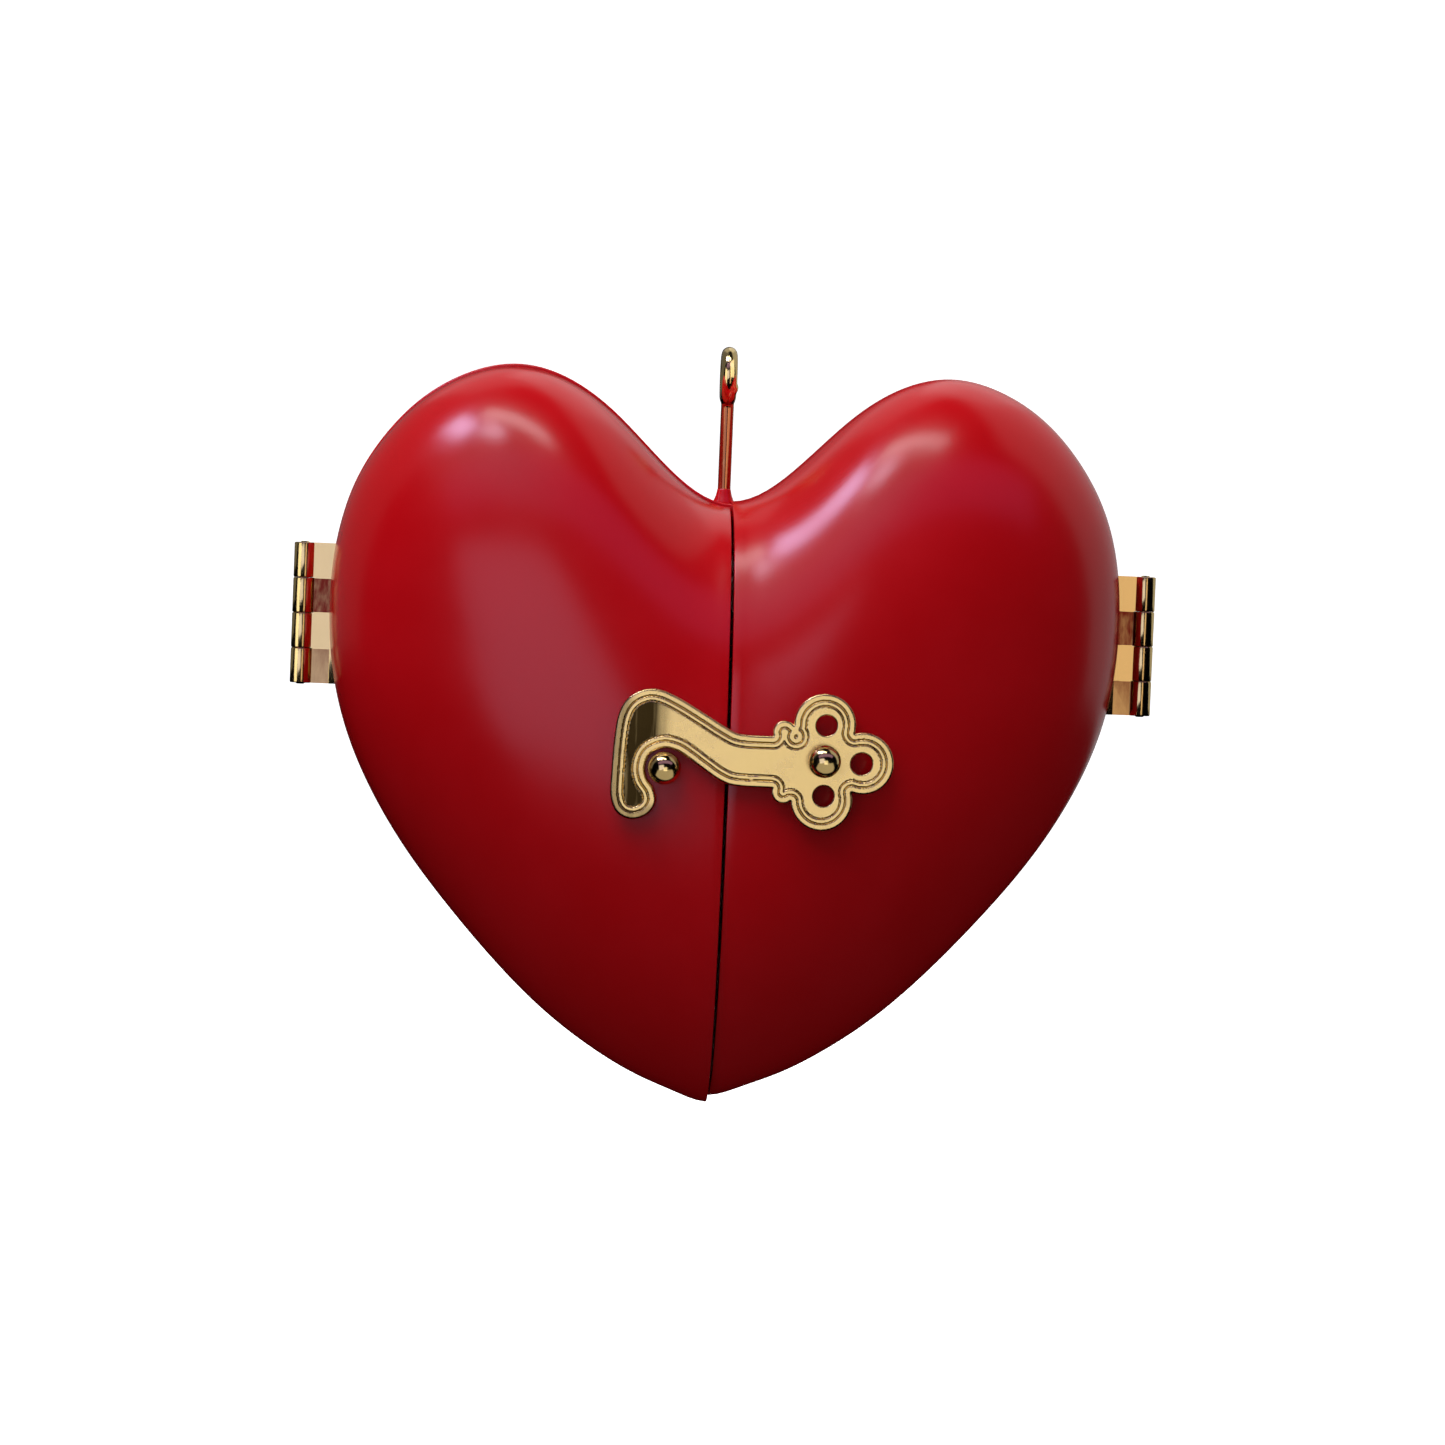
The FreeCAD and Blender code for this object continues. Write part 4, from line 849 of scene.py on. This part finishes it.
def stamped_data(outline, cell, front, back, seams, place):
    """A flat piece from an outline: front and back give the surface height from the distance to the outer
    edge and to the nearest hole; seams are distances the mesh lines up with; place puts it in the frame."""
    samples = outline.edge_points(0.2)
    low, high = samples.min(0) - cell, samples.max(0) + cell
    xs, zs = np.arange(low[0], high[0] + cell, cell), np.arange(low[1], high[1] + cell, cell)
    wide, tall = len(xs), len(zs)
    points = np.column_stack([np.repeat(xs, tall), np.tile(zs, wide)])
    interior = outline.solid(points) > 0.3 * cell
    grid = np.arange(wide * tall).reshape(wide, tall)
    quads = np.stack([grid[:-1, :-1], grid[1:, :-1], grid[1:, 1:], grid[:-1, 1:]], -1).reshape(-1, 4)
    quads = quads[interior[quads].any(1)]
    used = np.unique(quads)
    renumber = np.full(len(points), -1)
    renumber[used] = np.arange(len(used))
    points, interior, quads = points[used], interior[used], renumber[quads]
    # The points round the cut edge slide onto it.
    rim = np.flatnonzero(~interior)
    nudge = cell * 0.05
    for _ in range(6):
        here = outline.solid(points[rim])
        slope = np.column_stack([outline.solid(points[rim] + step) - outline.solid(points[rim] - step)
                                 for step in (np.array((nudge, 0)), np.array((0, nudge)))]) / (2 * nudge)
        steep = np.maximum((slope ** 2).sum(1), 0.25)
        points[rim] -= (here / steep)[:, None] * slope
    # The points near a seam slide onto it.
    inner = np.flatnonzero(interior)
    nearest = outline.nearest(points[inner])
    gap = points[inner] - nearest
    depth = np.hypot(gap[:, 0], gap[:, 1])
    for seam in seams:
        close = np.abs(depth - seam) < 0.42 * cell
        points[inner[close]] = nearest[close] + gap[close] * (seam / depth[close])[:, None]
        depth[close] = seam
    edge_depth = np.zeros(len(points))
    edge_depth[inner] = outline.edge_distance(points[inner])
    on_hole = outline.hole_distance(points) < 0.25 * cell
    edge_depth[rim] = np.where(on_hole[rim], outline.edge_distance(points[rim]), 0.0)
    hole_depth = np.maximum(outline.hole_distance(points), 0)
    verts = []
    for surface in (front, back):
        verts += [place(x, z, w) for (x, z), w in zip(points, surface(edge_depth, hole_depth))]
    count = len(points)
    faces = [tuple(q) for q in quads] + [tuple(q[::-1] + count) for q in quads]
    sides = dict.fromkeys(pair for quad in quads for pair in zip(quad, np.roll(quad, -1)))
    faces += [(b, a, a + count, b + count) for a, b in sides if (b, a) not in sides]
    return verts, faces


def rounded_edge(distance, radius):
    """How far a surface drops near its rounded edge."""
    inward = np.clip(radius - distance, 0, radius)
    return radius - np.sqrt(np.maximum(radius ** 2 - inward ** 2, 0))


def valley(distance, start, end, depth):
    """A rounded groove between two distances from the edge."""
    share = np.clip((distance - start) / (end - start), 0, 1)
    return depth * np.sin(math.pi * share) ** 0.6


# ------------------------------------------------------------------ latch

ARM_EDGE = [
    (-6.5, 2.8), (-10.2, 2.9), (-12.2, 3.75), (-14.5, 5.1), (-17.5, 6.8), (-20.0, 7.85), (-22.0, 7.9),
    (-24.0, 6.85), (-25.15, 4.9), (-25.6, 2.0), (-25.8, -2.0), (-25.8, -5.2), (-25.0, -7.2), (-23.2, -8.0),
    (-21.3, -7.4), (-20.3, -5.9), (-20.6, -4.2), (-21.5, -2.9), (-21.75, -1.5), (-21.2, 0.0), (-19.6, 0.8),
    (-18.0, 0.55), (-16.6, -0.25), (-14.8, -1.5), (-12.6, -2.9), (-10.6, -3.5), (-6.5, -3.6),
]
HEAD_ROUNDS = [
    (0.0, 0.0, 3.6), (0.0, 4.4, 3.8), (4.8, -0.15, 3.8), (-0.1, -4.8, 3.8),
    (-4.9, 3.3, 1.45), (-4.8, -4.0, 1.45),
]
HEAD_HOLES = [(0.2, 4.3, 1.25), (4.65, -0.2, 1.3), (0.15, -4.3, 1.25), (0.0, 0.0, 0.97)]
HOOK_BACK, HOOK_FRONT = 24.9, 25.9
GROOVES = [(0.78, 0.98, 0.15), (1.42, 1.62, 0.15)]
FIELD_EDGE = GROOVES[1][1]


def hook_painted_shade(outline, hook):
    """Painted reflection and shade: the hollow of the hook's tip is painted dark, where it would mirror the
    dark room, and its outer rim there is painted duller.
    """
    x, z = places(hook, LATCH)
    depth = outline.edge_distance(np.column_stack([x, z]))
    hollow = fade(depth, FIELD_EDGE - 0.05, FIELD_EDGE + 0.1) * fade(x, -18.2, -21.4)
    tip = np.maximum(fade(x, -22.5, -24.5), fade(z, -5.5, -7.0) * fade(x, -19.5, -20.5))
    return np.maximum(hollow, 0.5 * fade(depth, 1.2, 0.9) * tip)


def make_latch():
    arm = smooth_run(ARM_EDGE) + [np.array((-2.5, -3.6)), np.array((-2.5, 2.8))]
    outline = Outline([arm], HEAD_ROUNDS, HEAD_HOLES)

    def front(depth, hole):
        height = HOOK_FRONT - rounded_edge(depth, 0.26) - rounded_edge(hole, 0.14)
        for groove in GROOVES:
            height = height - valley(depth, *groove) * np.clip(hole / 0.2, 0, 1)
        return height - np.where(depth > FIELD_EDGE, 0.07, 0.0)

    def back(depth, hole):
        return HOOK_BACK + rounded_edge(depth, 0.08) + rounded_edge(hole, 0.08)

    def place(x, z, w):
        return spot(LATCH_X + x, -w, LATCH_Z + z)

    seams = [0.04, 0.12, 0.26, 0.78, 0.88, 0.98, 1.42, 1.52, 1.62, 1.72]
    data = stamped_data(outline, 0.09, front, back, seams, place)
    hook = mesh_object("latch_hook_plate", *data, "latch", "latch_brass", LATCH_BRASS)
    sharpen(outward(hook), 62)
    # Painted reflection and shade in the hook's hollow and on its rim.
    store_painted_shade(hook, hook_painted_shade(outline, hook))
    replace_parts(hook, "latch_hook")


def make_pin(node, body, x, z, inner, flange_back, flange_front, ball_start, centre, ball_radius=2.0):
    """A riveted pin along y; its distances are from the parting plane outwards."""
    profile = [(0, inner), (1.7, inner), (1.7, inner + 0.8), (PIN_RADIUS, inner + 0.8),
               (PIN_RADIUS, flange_back),
               (1.9, flange_back), (1.9, flange_front), (PIN_RADIUS, flange_front), (PIN_RADIUS, ball_start)]
    angles = np.linspace(math.acos((centre - ball_start) / ball_radius), math.pi, 20)
    ball = [(ball_radius * math.sin(a), centre - ball_radius * math.cos(a)) for a in angles]
    ball[-1] = (0.0, ball[-1][1])
    data = lathe_data(round_profile(profile, 0.1) + ball, spot(x, 0, z), (0, -1, 0), 64)
    pin = mesh_object(node + "_ball", *data, body, *BRASS)
    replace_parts(sharpen(clean(pin), 40), node)


make_latch()
make_pin("latch_pivot_pin", "right_door_body", LATCH_X, LATCH_Z, 21.2, 23.9, 24.85, 25.96, 27.4)
make_pin("latch_catch_pin", "left_door_body", CATCH_X, CATCH_Z, 21.5, 24.4, 24.88, 24.93, 26.4)

# ------------------------------------------------------------------ hanger eye

EYE_ACROSS, EYE_BEHIND, EYE_CENTRE = -HEART / MM
RING_RADIUS = 2.8
RING_WIRE = 1.05
STEM_RADIUS = 0.85
STEM_FOOT = 11.05
FOOT_BOTTOM = 15.9
WIRE_END_TURN = math.radians(35)


def on_stem(z):
    return spot(EYE_ACROSS, EYE_BEHIND, z)


def make_eye():
    top = EYE_CENTRE - RING_RADIUS
    stem = round_profile([(0, STEM_FOOT), (STEM_RADIUS, STEM_FOOT), (STEM_RADIUS, top), (0, top)], 0.2)
    data = lathe_data(stem, on_stem(0), (0, 0, 1), 40)
    eye = outward(mesh_object("hanger_eye_wire", *data, "case", "polished_brass", EYE_BRASS))
    ring = [(RING_RADIUS + RING_WIRE * math.cos(t), RING_WIRE * math.sin(t)) for t in turns(24)]
    ring = ring_data(ring, on_stem(EYE_CENTRE), (1, 0, 0), 64)
    end = spot(EYE_ACROSS + 0.2, EYE_BEHIND - RING_RADIUS * math.cos(WIRE_END_TURN),
               EYE_CENTRE - RING_RADIUS * math.sin(WIRE_END_TURN))
    bump = [(RING_WIRE * math.cos(t), RING_WIRE * math.sin(t)) for t in np.linspace(-1.4, 1.4, 16)]
    bump = lathe_data([(0, -RING_WIRE)] + bump + [(0, RING_WIRE)], end, (0.1, 0, 1), 32)
    combine(eye, [ring, bump], "UNION")
    remesh = eye.modifiers.new("even", "REMESH")
    remesh.mode = "VOXEL"
    remesh.voxel_size = 0.13 * MM
    remesh.use_smooth_shade = True
    soften = eye.modifiers.new("soften", "SMOOTH")
    soften.factor = 0.5
    soften.iterations = 8
    bake(eye)
    # Painted reflection: the wire turns coppery red below the ring, standing in for the red shell mirrored in
    # it.
    store_painted_shade(eye, fade(places(eye, np.zeros(3))[1], -1.5, -4.5))
    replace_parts(eye, "hanger_eye")
    inner = STEM_RADIUS - 0.1
    foot = [(inner, 0), (1.5, 0), (1.42, 0.5), (1.22, 0.95), (1.02, 1.5), (0.9, 2.1), (inner, 2.5)]
    data = ring_data(foot, on_stem(FOOT_BOTTOM), (0, 0, 1), 40)
    outward(mesh_object("hanger_foot_sleeve", *data, "case", *RED))


make_eye()

# ------------------------------------------------------------------ panel, disc and rose

PANEL_FRONT = 0.5


def turned_piece(node, name, body, slot_name, material, profile, radius=0.12):
    """A turned piece about the movement axis; the closed profile is (radius, distance out)."""
    points = [np.array(p, float) for p in profile]
    soft = []
    for before, here, after in zip(points[-1:] + points, points, points[1:] + points[:1]):
        soft += corner(before, here, after, radius, (0, 0.33, 0.67, 1))
    data = ring_data(soft, spot(0, 0, MOVEMENT_Z), (0, -1, 0), 96)
    piece = mesh_object(name, *data, body, slot_name, material)
    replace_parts(sharpen(outward(piece), 50), node)


RING_PROFILE = [(15.6, -0.5), (18.2, -0.5), (18.2, -0.2), (17.9, 0.35), (17.2, 0.5), (16.8, 0.85), (16.1, 0.9),
                (15.6, 0.3)]
DISC_PROFILE = [(1.2, -0.2), (2.6, -0.2), (2.6, 1.2), (15.0, 1.2), (15.0, 2.1), (14.5, 2.4), (13.2, 2.4),
                (12.95, 2.15), (12.6, 2.15), (12.35, 2.4), (1.2, 2.4)]
COLLAR_PROFILE = [(2.6, -22.0), (3.1, -22.0), (3.1, -25.6), (5.2, -25.6),
                  (5.2, -25.9), (4.7, -26.3), (2.6, -26.3)]
turned_piece("trim_ring", "trim_ring_bezel", "case", *BRASS, RING_PROFILE)
turned_piece("turntable_disc", "turntable_plate", "barrel", "disc_lacquer", DISC, DISC_PROFILE, 0.1)
turned_piece("key_escutcheon", "key_escutcheon_collar", "case", *PLATED, COLLAR_PROFILE)


def make_screws(word, spots, head_radius, seat, toward, shank_radius, tip, slot_name, material):
    """Slotted screws along y, whose heads look forwards or backwards."""
    rise = 0.9 if toward < 0 else 1.2
    edge = seat + rise * 0.55
    profile = [(0, tip), (shank_radius, tip), (shank_radius, seat), (head_radius, seat), (head_radius, edge)]
    profile += [(r, edge + h) for r, h in dome_profile(head_radius, rise * 0.43)][1:]
    heads = [lathe_data(profile, spot(x, 0, z), (0, toward, 0), 40) for x, z in spots]
    slot = (toward * (seat + rise * 0.6), toward * (seat + 4))
    slots = [sorted_box((x - 3, x + 3), slot, (z - 0.25, z + 0.25)) for x, z in spots]
    screws = outward(mesh_object(word + "_heads", *merge(heads), "case", slot_name, material))
    combine(screws, [merge(slots)], "DIFFERENCE")
    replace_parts(sharpen(screws, 40), word + "s")


make_screws("panel_screw", PANEL_SCREW_SPOTS, 1.5, -PANEL_FRONT, -1, PANEL_SCREW, -7.5, *BRASS)
make_screws("movement_screw", MOVEMENT_SCREW_SPOTS, 1.7, SCREW_SEAT, 1, 0.9, 14.4, "steel_shaft", STEEL)


def petal_data(spin, radius, height, half_angle, base_height, lip, rng):
    """One cupped petal with a rolled lip; spin is where it stands round the rose."""
    across, along = 12, 14
    wobble = rng.uniform(-0.08, 0.08)
    verts = []
    for i in range(along + 1):
        u = i / along
        cup = radius * (0.30 + 0.70 * math.sin(min(1.0, u * 1.15) * math.pi / 2))
        cup += lip * max(0.0, u - 0.72) ** 1.3 * 6.0
        width = half_angle * (0.55 + 0.45 * math.sin(math.pi * min(1, u * 0.85 + 0.12)))
        for j in range(across + 1):
            v = 2 * j / across - 1
            turn = spin + width * v
            fall = 1 - 0.30 * abs(v) ** 2.6 * (0.3 + 0.7 * u)
            r = cup * (1 + 0.05 * v * v + wobble * u * v)
            verts.append((r * math.cos(turn), r * math.sin(turn), base_height + height * u * fall))
    return verts, grid_faces(across, along)


def leaf_data(spin, base):
    """One leaf lying under the rose."""
    verts = []
    for i in range(13):
        u = i / 12
        width = 2.1 * math.sin(math.pi * u ** 0.8) + 0.05
        for j in range(7):
            v = j / 3 - 1
            notch = 1 + 0.06 * math.cos(i * math.pi) * abs(v) ** 3
            out, side = 2.6 + 6.6 * u, width * v * notch
            h = 0.55 + 1.0 * math.sin(math.pi * u * 0.9) * (1 - 0.2 * u) + 0.35 * abs(v)
            verts.append(spot(out * math.cos(spin) - side * math.sin(spin), -(base + h),
                              MOVEMENT_Z + out * math.sin(spin) + side * math.cos(spin)))
    return verts, grid_faces(6, 12)


def thicken(obj, thickness, offset):
    """Gives a sheet its thickness and rounds it off."""
    thick = obj.modifiers.new("thick", "SOLIDIFY")
    thick.thickness = thickness * MM
    thick.offset = offset
    round_off = obj.modifiers.new("round", "SUBSURF")
    round_off.levels = round_off.render_levels = 1
    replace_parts(obj, "rose")


# Petals from the middle outwards: how many, and their reach, height, half angle and lip.
PETAL_LAYERS = [(3, 0.20, 0.98, 1.1, 0.0), (4, 0.36, 0.95, 0.95, 0.02), (5, 0.55, 0.88, 0.82, 0.10),
                (5, 0.74, 0.76, 0.80, 0.16), (6, 0.90, 0.62, 0.72, 0.20)]


def make_rose():
    rng = random.Random(5)
    low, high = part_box("rose")
    base = (HEART[1] - high.y) / MM
    tall = (high.y - low.y) / MM
    reach = (high.x - low.x) / 2 / MM
    parts = []
    for index, (count, share, height, half_angle, lip) in enumerate(PETAL_LAYERS):
        for k in range(count):
            spin = 2 * math.pi * (k + 0.5 * (index % 2) + rng.uniform(-0.06, 0.06)) / count
            start = tall * 0.34 + 0.15 * (4 - index)
            verts, faces = petal_data(spin, reach * share * 0.86, tall * height - start, half_angle,
                                      start, reach * lip, rng)
            parts.append(([spot(x, -(base + h), MOVEMENT_Z + z) for x, z, h in verts], faces))
    thicken(mesh_object("rose_petals", *merge(parts), "barrel", "rose_resin", ROSE), 0.3, -1)
    profile = [(0, 0.05), (3.3, 0.05), (3.1, 0.5), (1.9, 1.5), (1.5, 2.4), (1.6, tall * 0.33),
               (2.6, tall * 0.42),
               (1.8, tall * 0.52), (0, tall * 0.56)]
    stem = lathe_data(round_profile(profile, 0.5), spot(0, -base, MOVEMENT_Z), (0, -1, 0), 40)
    calyx = mesh_object("rose_calyx", *stem, "barrel", "rose_resin", LEAF)
    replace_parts(sharpen(outward(calyx), 50), "rose")
    leaves = merge([leaf_data(2 * math.pi * (k + 0.25) / 5, base) for k in range(5)])
    thicken(mesh_object("rose_leaves", *leaves, "barrel", "rose_resin", LEAF), 0.25, 0)


make_rose()

# ------------------------------------------------------------------ winding key

KEY_START = KEY_SEAT + 1.2
KEY_END = KEY_START + 11.0
WING_RADIUS = 4.6
WING_REACH = 21.0 / 2 - WING_RADIUS
HALF_WING = 0.75


def make_key():
    neck = [(-3.2, KEY_START + 3.6), (3.2, KEY_START + 3.6), (3.2, KEY_END - 1.5), (-3.2, KEY_END - 1.5)]
    rounds = [(side * WING_REACH, KEY_END - WING_RADIUS, WING_RADIUS) for side in (-1, 1)]
    outline = Outline([neck], rounds, [(x, y, 2.0) for x, y, radius in rounds])

    def front(depth, hole):
        rim = 0.12 * np.clip(1 - np.abs(depth - 0.9) / 0.5, 0, 1)
        return HALF_WING - 0.12 + rim - rounded_edge(depth, 0.3) - rounded_edge(hole, 0.25)

    def back(depth, hole):
        return -front(depth, hole)

    def place(x, y, w):
        return spot(x, y, MOVEMENT_Z + w)

    data = stamped_data(outline, 0.16, front, back, [0.05, 0.15, 0.3, 0.4, 0.9, 1.4], place)
    wings = outward(mesh_object("winding_key_wings", *data, "winding", *PLATED))
    hub = round_profile([(0, 0), (2.4, 0), (2.4, 4.6), (2.0, 6.0), (0, 6.0)], 0.35)
    combine(wings, [lathe_data(hub, spot(0, KEY_START, MOVEMENT_Z), (0, 1, 0), 56)], "UNION")
    socket = rod_data(1.3, (0, KEY_START - 1, MOVEMENT_Z), (0, KEY_START + 3.2, MOVEMENT_Z))
    combine(wings, [socket], "DIFFERENCE")
    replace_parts(sharpen(wings, 50), "winding_key")


make_key()

# ------------------------------------------------------------------ CAD pieces that keep their shape

KEPT = [
    (IVORY, "inner_panel"), (POLISHED_BRASS, "hanger_nut"), (COMB_STEEL, "comb"), (ZINC, "comb_seat"),
    (ALUMINIUM, "air_brake"), (BLUED_STEEL, "clutch_spring mainspring"),
    (STEEL, "winding_arbor cylinder_arbor music_pins comb_screws train_pinion governor_worm"),
    (MOVEMENT_BRASS, "bedplate spring_barrel barrel_cover music_cylinder cylinder_pinion cylinder_gear"),
    (MOVEMENT_BRASS, "cylinder_bearing governor_frame worm_wheel"),
]
for material, nodes in KEPT:
    for node in nodes.split():
        materials = frame["nodes"][node].data.materials
        materials.clear()
        materials.append(material)

# ------------------------------------------------------------------ light, floor and camera

LOOK_AT = spot(0.2, 0, -12)
DISTANCE = 0.452
AZIMUTH, ELEVATION, ROLL = -2.5, 2.0, 2.35
FIELD_OF_VIEW = 23.3
LIGHT_DISTANCE = 0.9


def aim(obj, azimuth, elevation, distance, roll):
    """Turns an object to the heart; azimuth 0 is the viewer's side and positive to the right."""
    a, e = math.radians(azimuth), math.radians(elevation)
    direction = Vector((math.sin(a) * math.cos(e), -math.cos(a) * math.cos(e), math.sin(e)))
    obj.location = Vector(LOOK_AT) + distance * direction
    obj.rotation_mode = "QUATERNION"
    turn = Matrix.Rotation(math.radians(roll), 4, "Z").to_quaternion()
    obj.rotation_quaternion = (-direction).to_track_quat("-Z", "Y") @ turn
    return obj


def make_camera():
    camera = new_object("camera", bpy.data.cameras.new("camera"))
    aim(camera, AZIMUTH, ELEVATION, DISTANCE, ROLL)
    camera.data.angle = math.radians(FIELD_OF_VIEW)
    camera.data.clip_start, camera.data.clip_end = 0.01, 50
    bpy.context.scene.camera = camera


def soft_box(name, place, spread, radiance, colour=(1, 1, 1), roll=0, mirrored=True):
    """A soft box at (azimuth, elevation) that looks spread = (wide, high) degrees large from the heart.
    One that isn't mirrored only lights the colours and doesn't show in the gloss."""
    light = bpy.data.lights.new(name, "AREA")
    light.shape = "RECTANGLE"
    light.size, light.size_y = (2 * LIGHT_DISTANCE * math.tan(math.radians(v / 2)) for v in spread)
    light.energy = radiance * math.pi * light.size * light.size_y
    light.color = colour
    obj = aim(new_object(name, light), *place, LIGHT_DISTANCE, roll)
    obj.visible_camera = False
    obj.visible_glossy = mirrored
    return obj


def shine_on(light, pieces):
    """Lets a light reach only some pieces, the way a small card is held close to one part of a product."""
    receivers = bpy.data.collections.new(light.name + "_receivers")
    for piece in pieces:
        receivers.objects.link(piece)
    light.light_linking.receiver_collection = receivers


def make_lights():
    warm = (1.0, 0.97, 0.92)
    soft_box("window_glow", (-21, 7), (34, 31), 1.05, (0.84, 0.84, 1.15), roll=12)
    soft_box("ceiling_band", (6, 47), (92, 22), 0.28, (0.95, 0.62, 1.6))
    soft_box("key_window", (-76, 56), (15, 10), 11.0, (0.86, 0.86, 1.35))
    soft_box("key_second", (-45, 61), (11, 8), 8.0, (0.92, 0.92, 1.15))
    soft_box("top_strip", (-28, 73), (34, 8), 6.0)
    soft_box("room_left", (-130, 35), (80, 80), 0.14)
    soft_box("room_right", (130, 30), (80, 80), 0.40)
    soft_box("room_back", (180, 50), (50, 40), 0.30)
    soft_box("sky_soft", (-40, 60), (45, 45), 3.4, mirrored=False)
    soft_box("back_soft", (150, 35), (45, 45), 2.4, mirrored=False)
    objects = bpy.data.objects
    eye = objects["hanger_eye_wire"]
    latch = [objects[name] for name in ("latch_hook_plate", "latch_pivot_pin_ball", "latch_catch_pin_ball")]
    small = [obj for obj in objects if "hinge" in obj.name and obj.name.endswith(("_plate", "_rod"))] + [eye]
    shine_on(soft_box("latch_card", (7, -4), (24, 26), 1.0, warm), latch)
    shine_on(soft_box("ball_card", (8, -48), (110, 80), 0.42, (1.0, 0.95, 0.85)), latch[1:])
    shine_on(soft_box("eye_card", (40, 28), (56, 60), 1.2, (1.0, 0.97, 0.88)), [eye])
    shine_on(soft_box("hinge_card", (-54, 0), (30, 50), 1.35, warm), small)
    shine_on(soft_box("peach_card", (14, 0), (12, 50), 0.82, (1.1, 0.85, 0.68)), small)


def make_stage():
    """A pale floor that rises into a round pale wall; it is seen by the camera and leaves the light alone."""
    look = new_look("studio_paper")
    paper = look.mix(look.noise(60), (0.90, 0.90, 0.90), (0.94, 0.94, 0.94))
    look.links.new(paper, look.inputs["Base Color"])
    look.inputs["Roughness"].default_value = 0.9
    look.inputs["Specular IOR Level"].default_value = 0.1
    look.inputs["Emission Color"].default_value = (1, 1, 1, 1)
    look.inputs["Emission Strength"].default_value = 0.85
    profile = [(0, 0), (1.2, 0)]
    profile += [(1.2 + 0.4 * math.sin(t), 0.4 - 0.4 * math.cos(t)) for t in np.linspace(0.1, math.pi / 2, 12)]
    profile += [(1.6, 1.2), (1.3, 1.9), (0.7, 2.3), (0, 2.4)]
    data = lathe_data(profile, spot(0, 0, -125), (0, 0, 1), 96, 1)
    floor = mesh_object("studio_floor", *data, None, None, look.material)
    floor.visible_glossy = floor.visible_diffuse = floor.visible_shadow = False
    world = bpy.context.scene.world or bpy.data.worlds.new("world")
    bpy.context.scene.world = world
    world.use_nodes = True
    background = world.node_tree.nodes["Background"]
    background.inputs["Color"].default_value = (1.0, 1.0, 1.0, 1)
    background.inputs["Strength"].default_value = 0.20
    world.cycles_visibility.glossy = False


make_camera()
make_stage()
make_lights()
bpy.context.scene.view_settings.view_transform = "Standard"
